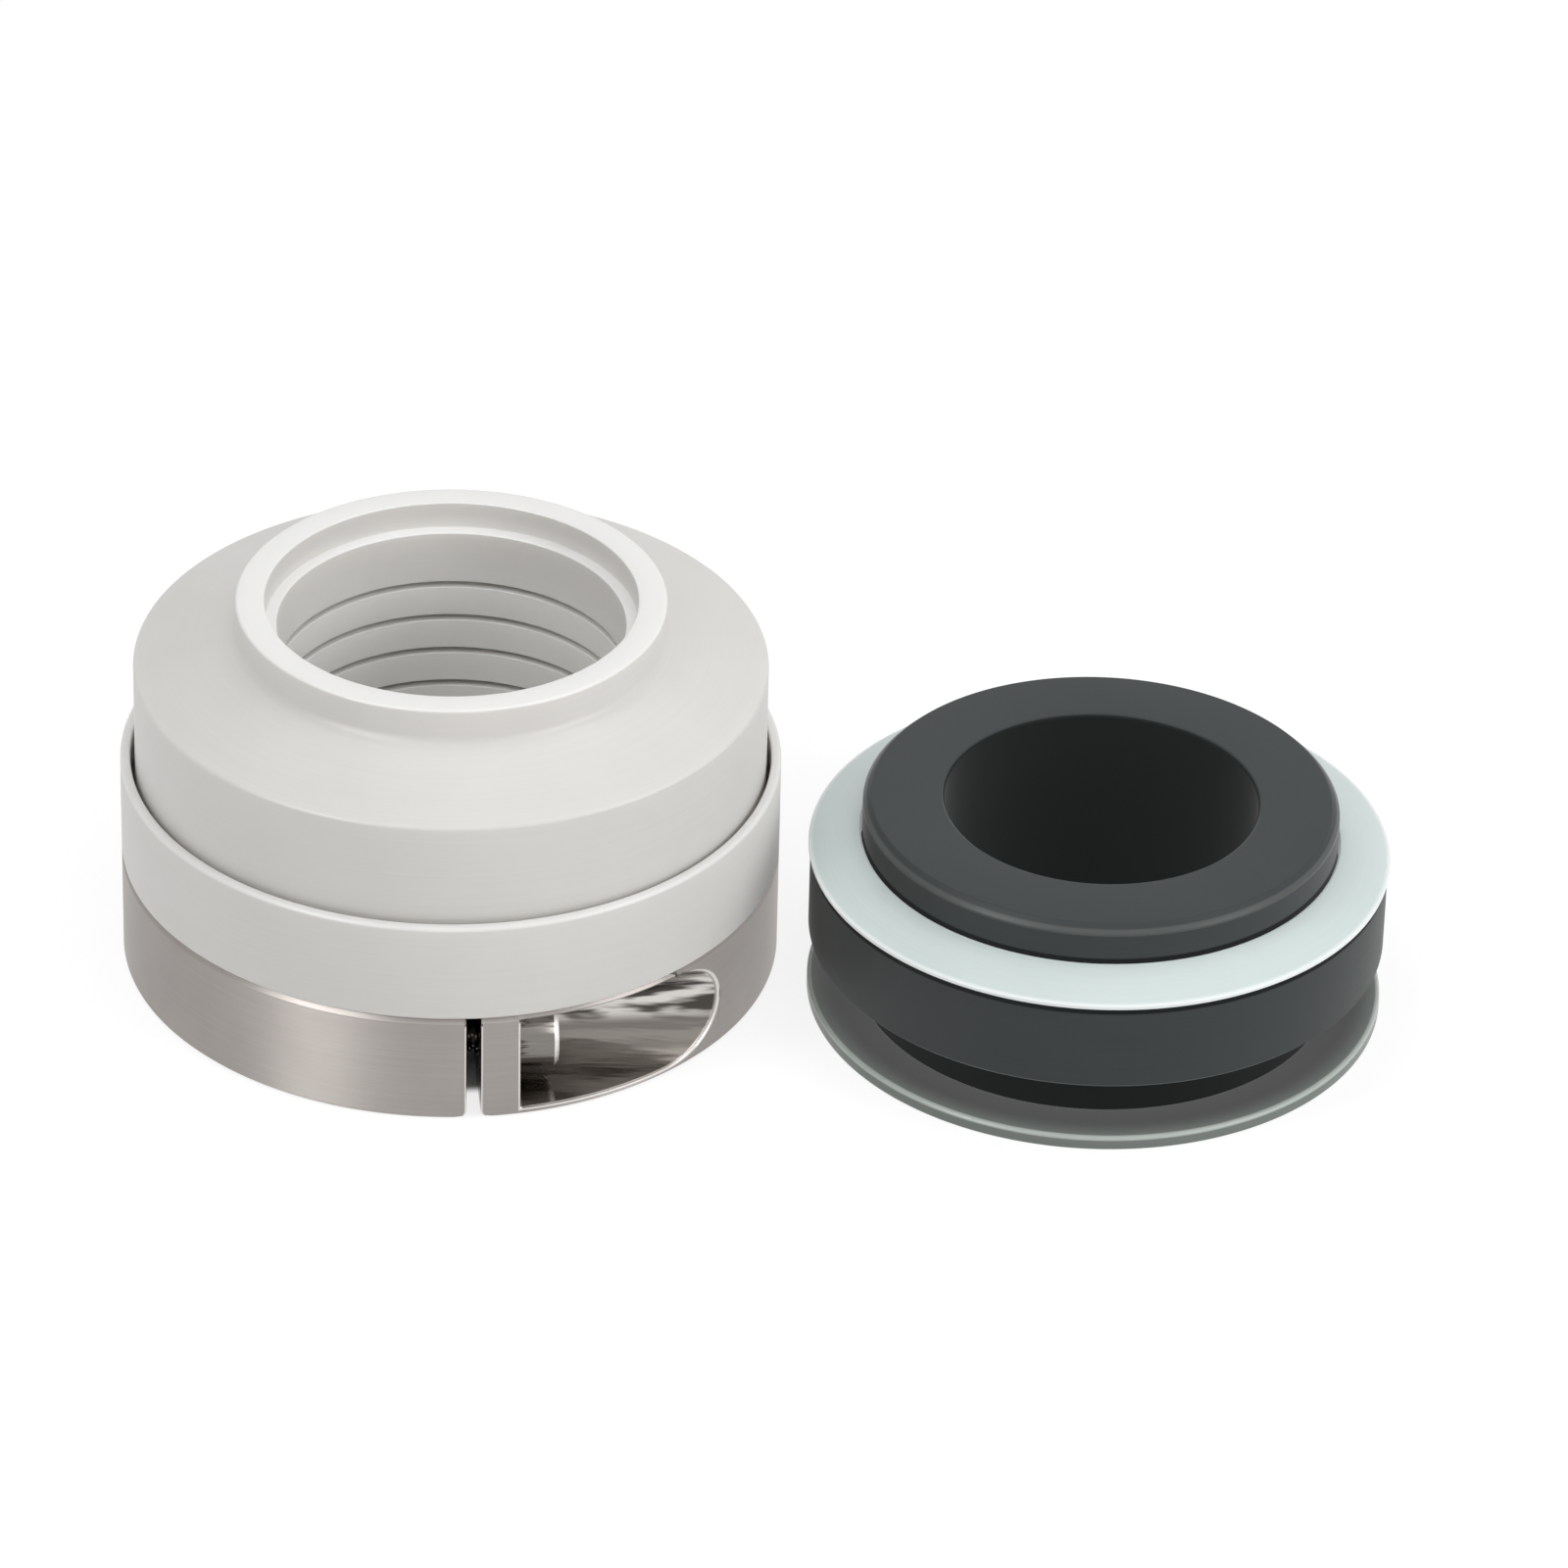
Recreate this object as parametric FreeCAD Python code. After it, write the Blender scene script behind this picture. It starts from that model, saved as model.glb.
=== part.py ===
import FreeCAD, Part
import math
import os

# A bellows mechanical seal for a pump shaft, in its two halves, standing side by side on a table.
# The rotating half has a one-piece white bellows with a sealing nose, pushed up by small springs
# inside a white cover, and a split steel ring that clamps the tail of the bellows to the shaft.
# The stationary half is a dark hard seat with a flange between two gaskets.
# Millimetres. The origin is on the axis of the rotating half, on the table. +Z is up.

# Shaft
shaft_diameter = 30.0

# Clamp ring
clamp_height = 11.5
clamp_lip_clearance = 0.4
clamp_top_chamfer = 0.45
clamp_bottom_chamfer = 0.35
slot_width = 1.2
slot_corner_radius = 0.9
slot_turn = 5.0

# Clamp screw, its pocket and its holes. The screw crosses the slot at right angles
screw_diameter = 4.0
screw_length = 14.0
screw_head_diameter = 7.0
screw_head_height = 4.0
screw_head_chamfer = 0.4
screw_socket_width = 3.0
screw_socket_depth = 2.0
screw_thread_clearance = 0.05
screw_hole_clearance = 0.25
screw_hole_spare_depth = 1.5
pocket_inner_wall = 3.0
pocket_top_wall = 0.45
pocket_bottom_wall = 0.75
slot_land = 4.0

# Spring cover
cover_wall = 1.0
cover_floor = 1.2
cover_height = 10.6
cover_rim_radius = 0.35
cover_bottom_chamfer = 0.3

# Rear spring seat
rear_seat_thickness = 2.5
spring_pocket_depth = 1.0
spring_pocket_clearance = 0.15

# Springs and drive pins share the stations of one circle
station_count = 12
stations_per_pin = 4
first_pin_angle = 90.0
spring_outer_diameter = 4.6
spring_wire_diameter = 0.6
spring_free_length = 15.8
spring_open_turns = 6.0
spring_end_turns = 1.0
pin_diameter = 2.5
pin_fit_clearance = 0.02
pin_slide_clearance = 0.1
pin_head_depth = 1.5
pin_engagement = 2.0
pin_hole_spare_depth = 0.5

# Front spring seat
front_seat_thickness = 1.5
front_seat_clearance = 0.3

# Bellows, from the tail up to the nose
tail_wall = 3.2
tail_bore_length = 11.5
tail_floor_gap = 0.5
bellows_bore_step = 2.2
fold_depth = 5.8
fold_wall = 1.1
fold_count = 4
fold_floor_gap = 2.725
membrane_thickness = 1.0
inner_groove_width = 0.65
first_groove_depth = 0.375
head_rim_thickness = 1.1
head_edge_radius = 0.45
skirt_wall = 2.2
skirt_stop_gap = 0.7
shoulder_rise = 3.4
nose_wall = 2.85
nose_height = 3.6
nose_bore_step = 1.2
nose_bore_depth = 2.8
nose_edge_radius = 0.3
nose_root_radius = 1.0
face_travel = 3.5

# Clearances, from the tail outwards to the cover
tail_clearance = 0.05
ring_clearance = 0.15
fold_spring_clearance = 0.8
spring_skirt_clearance = 0.75
head_cover_clearance = 0.45

# Stationary seat and its two gaskets
halves_gap = 2.7
seat_place_y = -8.2
seat_shaft_clearance = 0.5
seat_collar_wall = 8.05
seat_collar_height = 6.1
seat_flange_overhang = 5.05
seat_flange_thickness = 9.1
seat_flange_edge = 0.25
seat_neck_step = 0.05
seat_neck_height = 7.3
seat_face_chamfer = 0.8
seat_bore_chamfer = 0.3
gasket_clearance = 0.1
lower_gasket_width = 5.0
lower_gasket_thickness = 1.4
upper_gasket_width = 5.15
upper_gasket_inner_height = 2.15
upper_gasket_rim_height = 0.4
gasket_edge_radius = 0.15

# Radii of the rotating half, from the shaft outwards
shaft_radius = shaft_diameter / 2
tail_radius = shaft_radius + tail_wall
tail_hole_radius = tail_radius + ring_clearance
grip_radius = tail_radius + tail_clearance
bellows_bore_radius = shaft_radius + bellows_bore_step
nose_bore_radius = bellows_bore_radius + nose_bore_step
nose_radius = nose_bore_radius + nose_wall
fold_radius = bellows_bore_radius + fold_depth
station_circle_radius = fold_radius + fold_spring_clearance + spring_outer_diameter / 2
skirt_inner_radius = station_circle_radius + spring_outer_diameter / 2 + spring_skirt_clearance
head_radius = skirt_inner_radius + skirt_wall
cover_inner_radius = head_radius + head_cover_clearance
clamp_radius = cover_inner_radius + cover_wall

# Radii of pins and screw, and where the screw lies
pin_radius = pin_diameter / 2
pin_seat_radius = pin_radius + pin_fit_clearance
pin_slide_radius = pin_radius + pin_slide_clearance
screw_radius = screw_diameter / 2
pocket_radius = (clamp_height - pocket_top_wall - pocket_bottom_wall) / 2
pocket_start = slot_width / 2 + slot_land
screw_level = pocket_bottom_wall + pocket_radius
screw_offset = grip_radius + pocket_inner_wall + pocket_radius

# Levels of the rotating half, from the table up
clamp_lip_height = face_travel + tail_floor_gap
tail_bore_top = clamp_lip_height + tail_bore_length
cover_floor_top = clamp_height + cover_floor
rear_seat_top = cover_floor_top + rear_seat_thickness
spring_bottom = rear_seat_top - spring_pocket_depth
spring_top = spring_bottom + spring_free_length
pin_bottom = rear_seat_top - pin_engagement
head_underside = spring_top + front_seat_thickness
pin_top = head_underside + pin_head_depth
head_rim_level = head_underside + head_rim_thickness
nose_root_level = head_rim_level + shoulder_rise
nose_level = nose_root_level + nose_height
skirt_bottom = rear_seat_top + face_travel + skirt_stop_gap

# The folds fill the height between the rear seat and the head
fold_bottom = rear_seat_top + fold_floor_gap
first_groove_top = head_underside - first_groove_depth
solid_height = fold_count * inner_groove_width + (2 * fold_count - 1) * membrane_thickness
outer_groove_width = (first_groove_top - fold_bottom - solid_height) / (fold_count - 1)
fold_pitch = inner_groove_width + outer_groove_width + 2 * membrane_thickness

# Radii and levels of the stationary half
seat_bore_radius = shaft_radius + seat_shaft_clearance
collar_radius = seat_bore_radius + seat_collar_wall
neck_radius = collar_radius - seat_neck_step
flange_radius = collar_radius + seat_flange_overhang
lower_gasket_bore_radius = neck_radius + gasket_clearance
lower_gasket_radius = lower_gasket_bore_radius + lower_gasket_width
upper_gasket_bore_radius = collar_radius + gasket_clearance
upper_gasket_radius = upper_gasket_bore_radius + upper_gasket_width
flange_top = seat_neck_height + seat_flange_thickness
seat_face_level = flange_top + seat_collar_height
seat_place_x = clamp_radius + halves_gap + upper_gasket_radius

AXIS_X = FreeCAD.Vector(1, 0, 0)
AXIS_Z = FreeCAD.Vector(0, 0, 1)
ORIGIN = FreeCAD.Vector(0, 0, 0)
MATCH = 1e-4
STOCK = 2.0


def turned(profile):
    """A solid turned about Z from a closed outline of (radius, height) points."""
    points = [FreeCAD.Vector(radius, 0, height) for radius, height in profile]
    outline = Part.makePolygon(points + points[:1])
    return Part.Face(outline).revolve(ORIGIN, AXIS_Z, 360)


def ring(inner, outer, bottom, top):
    """A flat ring about Z."""
    return turned([(inner, bottom), (outer, bottom), (outer, top), (inner, top)])


def upright(radius, x, y, bottom, top):
    """A cylinder that stands parallel to Z."""
    return Part.makeCylinder(radius, top - bottom, FreeCAD.Vector(x, y, bottom), AXIS_Z)


def rim_edges(shape, radius, level):
    """The circular edges about Z of that radius at that level."""
    found = []
    for edge in shape.Edges:
        curve = edge.Curve
        if not isinstance(curve, Part.Circle):
            continue
        on_axis = math.hypot(curve.Center.x, curve.Center.y) < MATCH
        if on_axis and abs(curve.Radius - radius) < MATCH and abs(curve.Center.z - level) < MATCH:
            found.append(edge)
    return found


def rounded_rim(shape, size, radius, level):
    """The shape with its circular edge at that radius and level rounded."""
    return shape.makeFillet(size, rim_edges(shape, radius, level))


def chamfered_rim(shape, size, radius, level):
    """The shape with its circular edge at that radius and level chamfered."""
    return shape.makeChamfer(size, rim_edges(shape, radius, level))


def station_angles():
    """The angles of all stations, and of those that hold a drive pin."""
    step = 360.0 / station_count
    angles = [first_pin_angle + step * i for i in range(station_count)]
    return angles, angles[::stations_per_pin]


def on_station_circle(angle):
    """The X and Y of a station at that angle."""
    turn = math.radians(angle)
    return station_circle_radius * math.cos(turn), station_circle_radius * math.sin(turn)


def drilled(shape, radius, angles, bottom, top):
    """The shape with an upright hole at each of these stations."""
    holes = [upright(radius, *on_station_circle(angle), bottom, top) for angle in angles]
    return shape.cut(Part.Compound(holes))


def bellows():
    """The bellows, turned from one bar: tail, folds, head with its skirt, shoulder and nose."""
    body = turned([
        (shaft_radius, clamp_lip_height),
        (tail_radius, clamp_lip_height),
        (tail_radius, fold_bottom),
        (fold_radius, fold_bottom),
        (fold_radius, head_underside),
        (skirt_inner_radius, head_underside),
        (skirt_inner_radius, skirt_bottom),
        (head_radius, skirt_bottom),
        (head_radius, head_rim_level),
        (nose_radius, nose_root_level),
        (nose_radius, nose_level),
        (nose_bore_radius, nose_level),
        (nose_bore_radius, nose_level - nose_bore_depth),
        (bellows_bore_radius, nose_level - nose_bore_depth),
        (bellows_bore_radius, tail_bore_top),
        (shaft_radius, tail_bore_top),
    ])
    body = rounded_rim(body, nose_root_radius, nose_radius, nose_root_level)
    body = rounded_rim(body, nose_edge_radius, nose_radius, nose_level)
    body = rounded_rim(body, head_edge_radius, head_radius, head_rim_level)
    for fold in range(fold_count):
        groove_top = first_groove_top - fold * fold_pitch
        groove_bottom = groove_top - inner_groove_width
        body = body.cut(ring(shaft_radius, fold_radius - fold_wall, groove_bottom, groove_top))
        outer_top = groove_bottom - membrane_thickness
        if fold < fold_count - 1:
            outer_bottom = outer_top - outer_groove_width
            between = ring(bellows_bore_radius + fold_wall, fold_radius + STOCK / 4, outer_bottom, outer_top)
            body = body.cut(between)
    angles, pin_angles = station_angles()
    return drilled(body, pin_seat_radius, pin_angles, spring_top, pin_top)


def front_spring_seat():
    """The steel ring that the springs push against, under the head, with holes for the drive pins."""
    inner = fold_radius + front_seat_clearance
    outer = skirt_inner_radius - front_seat_clearance
    plate = ring(inner, outer, spring_top, head_underside)
    angles, pin_angles = station_angles()
    return drilled(plate, pin_seat_radius, pin_angles, spring_top, head_underside)


def rear_spring_seat():
    """The steel ring on the cover's floor, with a pocket for each spring and a hole for each pin."""
    outer = cover_inner_radius - ring_clearance
    plate = ring(tail_hole_radius, outer, cover_floor_top, rear_seat_top)
    angles, pin_angles = station_angles()
    spring_angles = [angle for angle in angles if angle not in pin_angles]
    pocket = spring_outer_diameter / 2 + spring_pocket_clearance
    plate = drilled(plate, pocket, spring_angles, spring_bottom, rear_seat_top)
    return drilled(plate, pin_slide_radius, pin_angles, cover_floor_top, rear_seat_top)


def spring_cover():
    """The white cup round the springs. Its floor is held between the rear seat and the clamp ring."""
    rim = clamp_height + cover_height
    cup = turned([
        (tail_hole_radius, clamp_height),
        (clamp_radius, clamp_height),
        (clamp_radius, rim),
        (cover_inner_radius, rim),
        (cover_inner_radius, cover_floor_top),
        (tail_hole_radius, cover_floor_top),
    ])
    cup = rounded_rim(cup, cover_rim_radius, clamp_radius, rim)
    cup = chamfered_rim(cup, cover_bottom_chamfer, clamp_radius, clamp_height)
    angles, pin_angles = station_angles()
    return drilled(cup, pin_slide_radius, pin_angles, clamp_height, cover_floor_top)


def clamp_ring():
    """The split steel ring: a lip under the tail, one slot, and the screw's pocket and holes."""
    lip_radius = shaft_radius + clamp_lip_clearance
    body = turned([
        (lip_radius, 0),
        (clamp_radius, 0),
        (clamp_radius, clamp_height),
        (grip_radius, clamp_height),
        (grip_radius, clamp_lip_height),
        (lip_radius, clamp_lip_height),
    ])
    body = chamfered_rim(body, clamp_top_chamfer, clamp_radius, clamp_height)
    body = chamfered_rim(body, clamp_bottom_chamfer, clamp_radius, 0)
    corner = FreeCAD.Vector(-slot_width / 2, -clamp_radius - STOCK, -STOCK)
    slot = Part.makeBox(slot_width, clamp_radius + STOCK, clamp_height + 2 * STOCK, corner)
    body = body.cut(slot)
    mouth = [edge for edge in body.Edges if is_slot_mouth(edge)]
    body = body.makeFillet(slot_corner_radius, mouth)
    body = body.cut(screw_pocket())
    middle = on_screw_axis(0)
    loose_radius = screw_radius + screw_hole_clearance
    body = body.cut(Part.makeCylinder(loose_radius, pocket_start + STOCK, middle, AXIS_X))
    tapped_depth = screw_length - pocket_start + screw_hole_spare_depth
    body = body.cut(Part.makeCylinder(screw_radius, tapped_depth, middle, -AXIS_X))
    angles, pin_angles = station_angles()
    deepest = pin_bottom - face_travel - pin_hole_spare_depth
    return drilled(body, pin_slide_radius, pin_angles, deepest, clamp_height + STOCK)


def on_screw_axis(x):
    """The point of the clamp screw's axis at that X, before the rotating half is turned."""
    return FreeCAD.Vector(x, -screw_offset, screw_level)


def screw_pocket():
    """What is milled away round the screw's head: round towards the shaft, open to the outside."""
    start = on_screw_axis(pocket_start)
    back = Part.makeCylinder(pocket_radius, clamp_radius, start, AXIS_X)
    corner = start - FreeCAD.Vector(0, clamp_radius, pocket_radius)
    front = Part.makeBox(clamp_radius, clamp_radius, 2 * pocket_radius, corner)
    return back.fuse(front).removeSplitter()


def is_slot_mouth(edge):
    """Whether an edge is one of the two where the slot's walls meet the ring's underside."""
    box = edge.BoundBox
    flat = abs(box.ZMin) < MATCH and abs(box.ZMax) < MATCH
    straight = abs(abs(box.XMin) - slot_width / 2) < MATCH and box.XLength < MATCH
    return flat and straight and box.YMax < 0


def clamp_screw():
    """The socket head screw that pulls the slot together, with its head against the land."""
    seat = on_screw_axis(pocket_start)
    head = Part.makeCylinder(screw_head_diameter / 2, screw_head_height, seat, AXIS_X)
    top_level = seat.x + screw_head_height
    top = [edge for edge in head.Edges if abs(edge.BoundBox.XMin - top_level) < MATCH]
    head = head.makeChamfer(screw_head_chamfer, top)
    shank = Part.makeCylinder(screw_radius - screw_thread_clearance, screw_length, seat, -AXIS_X)
    corner_radius = screw_socket_width / math.sqrt(3)
    corners = []
    for i in range(7):
        turn = math.radians(60 * i)
        y = seat.y + corner_radius * math.cos(turn)
        z = seat.z + corner_radius * math.sin(turn)
        corners.append(FreeCAD.Vector(top_level - screw_socket_depth, y, z))
    socket = Part.Face(Part.makePolygon(corners)).extrude(AXIS_X * (screw_socket_depth + STOCK))
    return head.fuse(shank).cut(socket).removeSplitter()


def spring(angle):
    """One compression spring at its station: closed ends ground flat, open turns between them."""
    x, y = on_station_circle(angle)
    wire_radius = spring_wire_diameter / 2
    mean_radius = spring_outer_diameter / 2 - wire_radius
    low = spring_bottom + wire_radius / 2
    high = spring_top - wire_radius / 2
    closed_rise = spring_wire_diameter * spring_end_turns
    turns = [0, spring_end_turns, spring_end_turns + spring_open_turns]
    turns.append(turns[-1] + spring_end_turns)
    levels = [low, low + closed_rise, high - closed_rise, high]
    points = []
    for turn, level in zip(turns, levels):
        points.append(FreeCAD.Base.Vector2d(2 * math.pi * turn, level))
    unrolled = Part.Geom2d.BSplineCurve2d()
    unrolled.buildFromPoles(points, False, 2)
    tube = Part.Cylinder()
    tube.Center = FreeCAD.Vector(x, y, 0)
    tube.Radius = mean_radius
    path = Part.Wire(unrolled.toShape(tube))
    start = FreeCAD.Vector(x + mean_radius, y, low)
    section = Part.Wire(Part.makeCircle(wire_radius, start, FreeCAD.Vector(0, 1, 0)))
    coil = path.makePipeShell([section], True, True)
    corner = FreeCAD.Vector(x - spring_outer_diameter, y - spring_outer_diameter, spring_bottom)
    width = 2 * spring_outer_diameter
    return coil.common(Part.makeBox(width, width, spring_free_length, corner))


def drive_pin(angle):
    """One pin, fixed in the head, that slides in the rear seat and makes the two turn together."""
    x, y = on_station_circle(angle)
    return upright(pin_radius, x, y, pin_bottom, pin_top)


def seat_ring():
    """The hard stationary seat: neck, flange and collar in one piece, with the lapped face on top."""
    body = turned([
        (seat_bore_radius, 0),
        (neck_radius, 0),
        (neck_radius, seat_neck_height),
        (flange_radius, seat_neck_height),
        (flange_radius, flange_top),
        (collar_radius, flange_top),
        (collar_radius, seat_face_level),
        (seat_bore_radius, seat_face_level),
    ])
    body = chamfered_rim(body, seat_face_chamfer, collar_radius, seat_face_level)
    body = chamfered_rim(body, seat_bore_chamfer, seat_bore_radius, seat_face_level)
    body = chamfered_rim(body, seat_bore_chamfer, seat_bore_radius, 0)
    body = chamfered_rim(body, seat_flange_edge, flange_radius, flange_top)
    body = chamfered_rim(body, seat_flange_edge, flange_radius, seat_neck_height)
    return chamfered_rim(body, seat_flange_edge, neck_radius, 0)


def upper_gasket():
    """The gasket round the collar, thick at the collar and sloping down to a thin rim."""
    return turned([
        (upper_gasket_bore_radius, flange_top),
        (upper_gasket_radius, flange_top),
        (upper_gasket_radius, flange_top + upper_gasket_rim_height),
        (upper_gasket_bore_radius, flange_top + upper_gasket_inner_height),
    ])


def lower_gasket():
    """The flat gasket round the neck, lying on the table under the flange."""
    body = ring(lower_gasket_bore_radius, lower_gasket_radius, 0, lower_gasket_thickness)
    return rounded_rim(body, gasket_edge_radius, lower_gasket_radius, lower_gasket_thickness)


def in_place(shape):
    """A piece of the rotating half, with the slot turned from the -Y side towards +X."""
    placed = shape.copy()
    placed.rotate(ORIGIN, AXIS_Z, slot_turn)
    return placed


def beside(shape):
    """A piece of the stationary half, set down at its place beside the rotating half."""
    placed = shape.copy()
    placed.translate(FreeCAD.Vector(seat_place_x, seat_place_y, 0))
    return placed


def main():
    """Makes every piece and writes each to its own file."""
    angles, pin_angles = station_angles()
    spring_angles = [angle for angle in angles if angle not in pin_angles]
    rotating = {
        "bellows": bellows(),
        "front_spring_seat": front_spring_seat(),
        "rear_spring_seat": rear_spring_seat(),
        "spring_cover": spring_cover(),
        "clamp_ring": clamp_ring(),
        "clamp_screw": clamp_screw(),
    }
    for number, angle in enumerate(spring_angles, 1):
        rotating[f"spring_{number}"] = spring(angle)
    for number, angle in enumerate(pin_angles, 1):
        rotating[f"drive_pin_{number}"] = drive_pin(angle)
    stationary = {
        "seat_ring": seat_ring(),
        "upper_gasket": upper_gasket(),
        "lower_gasket": lower_gasket(),
    }
    pieces = {name: in_place(shape) for name, shape in rotating.items()}
    pieces.update({name: beside(shape) for name, shape in stationary.items()})
    os.makedirs("parts", exist_ok=True)
    for name, shape in pieces.items():
        shape.exportStep(f"parts/{name}.step")
        print(name, shape.isValid(), len(shape.Solids), round(shape.Volume, 2))


main()
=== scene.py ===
# %% [markdown]
# # Dressing a bellows mechanical seal
#
# The object is a pump shaft seal in its two halves. On the left stands the rotating half: a white
# bellows with a sealing nose, a white cover round its springs and a split steel clamp ring below.
# On the right stands the seat, a dark hard ring with a pale gasket on its flange and a thin one
# below it. The solids already stand in their places at their real size. This lesson gives each of
# them smooth surfaces and a finish, lights them softly and sets the camera where the photographer
# stood.

# %% Load the solids
import math
import bmesh
import bpy
from mathutils import Matrix, Vector


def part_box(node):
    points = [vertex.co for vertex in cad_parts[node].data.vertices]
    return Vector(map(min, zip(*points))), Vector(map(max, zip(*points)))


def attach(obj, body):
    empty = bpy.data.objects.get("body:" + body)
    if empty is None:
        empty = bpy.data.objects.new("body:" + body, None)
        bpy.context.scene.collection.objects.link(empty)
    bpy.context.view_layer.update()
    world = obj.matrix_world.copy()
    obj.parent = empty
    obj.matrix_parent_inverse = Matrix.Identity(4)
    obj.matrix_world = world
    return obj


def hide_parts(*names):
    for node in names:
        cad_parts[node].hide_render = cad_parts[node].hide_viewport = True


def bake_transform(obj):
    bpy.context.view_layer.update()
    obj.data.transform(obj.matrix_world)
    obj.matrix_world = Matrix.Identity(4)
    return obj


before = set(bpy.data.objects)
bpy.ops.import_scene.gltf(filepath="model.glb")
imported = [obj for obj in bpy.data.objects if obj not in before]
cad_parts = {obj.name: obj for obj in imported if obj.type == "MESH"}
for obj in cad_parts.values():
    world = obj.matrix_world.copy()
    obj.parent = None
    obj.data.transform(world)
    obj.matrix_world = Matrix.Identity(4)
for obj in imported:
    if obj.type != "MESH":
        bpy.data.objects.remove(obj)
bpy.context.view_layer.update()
MM = 0.001

# %% [markdown]
# ## The camera
#
# The photograph looks down on the pair at about 32 degrees, from a little to the left. Its
# parallel edges hardly draw together, so it was taken with a long lens from some way off, and
# everything in it leans slightly to the right, as when a camera isn't held quite level. A camera
# can be placed by trial. Here its angles, its distance and the point in the middle of the frame
# were worked out from the outlines, so they are simply written down. The angles are put together
# as three turns: a roll about the line of sight, a tilt downwards and a turn about the upright.

# %% Set the camera
CAMERA_ELEVATION = 32.2
CAMERA_TURN = -1.5
CAMERA_ROLL = 1.5
CAMERA_DISTANCE = 0.9
CAMERA_LENS = 205.9
SENSOR_WIDTH = 36
SIGHT_ENDS = 20
FRAME_MIDDLE = Vector((0.03329, 0.00579, 0.01478))

tilt = math.radians(CAMERA_ELEVATION)
facing = Matrix.Rotation(math.radians(CAMERA_TURN), 3, "Z")
look_down = Matrix.Rotation(math.pi / 2 - tilt, 3, "X")
roll = Matrix.Rotation(math.radians(CAMERA_ROLL), 3, "Z")
sight = facing @ Vector((0, math.cos(tilt), -math.sin(tilt)))
camera_data = bpy.data.cameras.new("long_lens")
camera_data.lens = CAMERA_LENS
camera_data.sensor_width = SENSOR_WIDTH
camera_data.clip_end = SIGHT_ENDS
camera = bpy.data.objects.new("camera", camera_data)
camera.location = FRAME_MIDDLE - sight * CAMERA_DISTANCE
camera.rotation_euler = (facing @ look_down @ roll).to_euler()
bpy.context.scene.collection.objects.link(camera)
bpy.context.scene.camera = camera
bpy.context.scene.view_settings.view_transform = "Standard"
print("camera at", [round(v, 3) for v in camera.location])

# %% [markdown]
# ## Turning a profile
#
# Nearly every piece here was made on a lathe, so each is one outline spun about its axis. A
# Screw modifier would do it too, but a small function gives exact corners: every corner of the
# outline may carry a radius, and those small radii are what catch the light in the photograph.

# %% Round the corners of an outline
CORNER_STEPS = 5


def with_round_corners(outline):
    """The outline's (radius, height, corner radius) points with an arc at each rounded corner."""
    points = []
    for i, (r, z, round_by) in enumerate(outline):
        here = Vector((r, z))
        if round_by == 0:
            points.append(here)
            continue
        before = Vector(outline[i - 1][:2]) - here
        after = Vector(outline[(i + 1) % len(outline)][:2]) - here
        half = before.angle(after) / 2
        reach = round_by / math.tan(half)
        middle = here + (before.normalized() + after.normalized()).normalized() * round_by / math.sin(half)
        first = here + before.normalized() * reach - middle
        last = here + after.normalized() * reach - middle
        turn = first.angle_signed(last)
        for step in range(CORNER_STEPS + 1):
            points.append(middle + Matrix.Rotation(-turn * step / CORNER_STEPS, 2) @ first)
    return points


print("points in a rounded corner:", CORNER_STEPS + 1)

# %% Clean and shade a mesh
DOUBLES_WITHIN = 1e-7
SHARP_FROM = 30


def finish_mesh(mesh, sharp_from=SHARP_FROM):
    """Merges doubles, points the faces outwards and shades smooth between sharp edges."""
    work = bmesh.new()
    work.from_mesh(mesh)
    bmesh.ops.remove_doubles(work, verts=work.verts, dist=DOUBLES_WITHIN)
    bmesh.ops.recalc_face_normals(work, faces=work.faces)
    if work.calc_volume(signed=True) < 0:
        bmesh.ops.reverse_faces(work, faces=work.faces)
    work.to_mesh(mesh)
    work.free()
    mesh.shade_smooth()
    mesh.set_sharp_from_angle(angle=math.radians(sharp_from))


print("edges stay sharp from", SHARP_FROM, "degrees")

# %% Spin an outline into a mesh
TURN_STEPS = 256


def turned_mesh(name, outline, centre=(0, 0)):
    """A closed mesh, in metres, turned about an upright axis from an outline in millimetres."""
    points = with_round_corners(outline)
    count = len(points)
    corners, faces = [], []
    for step in range(TURN_STEPS):
        turn = 2 * math.pi * step / TURN_STEPS
        for r, z in points:
            x = centre[0] + r * math.cos(turn)
            y = centre[1] + r * math.sin(turn)
            corners.append((x * MM, y * MM, z * MM))
        here, there = step * count, (step + 1) % TURN_STEPS * count
        for i in range(count):
            j = (i + 1) % count
            faces.append((here + i, there + i, there + j, here + j))
    mesh = bpy.data.meshes.new(name)
    mesh.from_pydata(corners, [], faces)
    finish_mesh(mesh)
    return mesh


print("steps round each turned piece:", TURN_STEPS)

# %% Make a mesh a piece of the seal
def piece(name, mesh, body, slot, nodes, *materials):
    """An object for a finished mesh that stands for these nodes and rides on that body."""
    made = bpy.data.objects.new(name, mesh)
    bpy.context.scene.collection.objects.link(made)
    while len(mesh.materials) < len(materials):
        mesh.materials.append(None)
    for number, material in enumerate(materials):
        mesh.materials[number] = material
    if body:
        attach(made, body)
    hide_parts(*nodes)
    triangles = sum(len(face.vertices) - 2 for face in mesh.polygons)
    print(name, "triangles:", triangles)
    return made


SEAT_CENTRE = tuple((a + b) / 2 / MM for a, b in zip(*[corner[:2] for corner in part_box("seat_ring")]))
print("seat axis in mm:", [round(v, 2) for v in SEAT_CENTRE])

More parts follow.
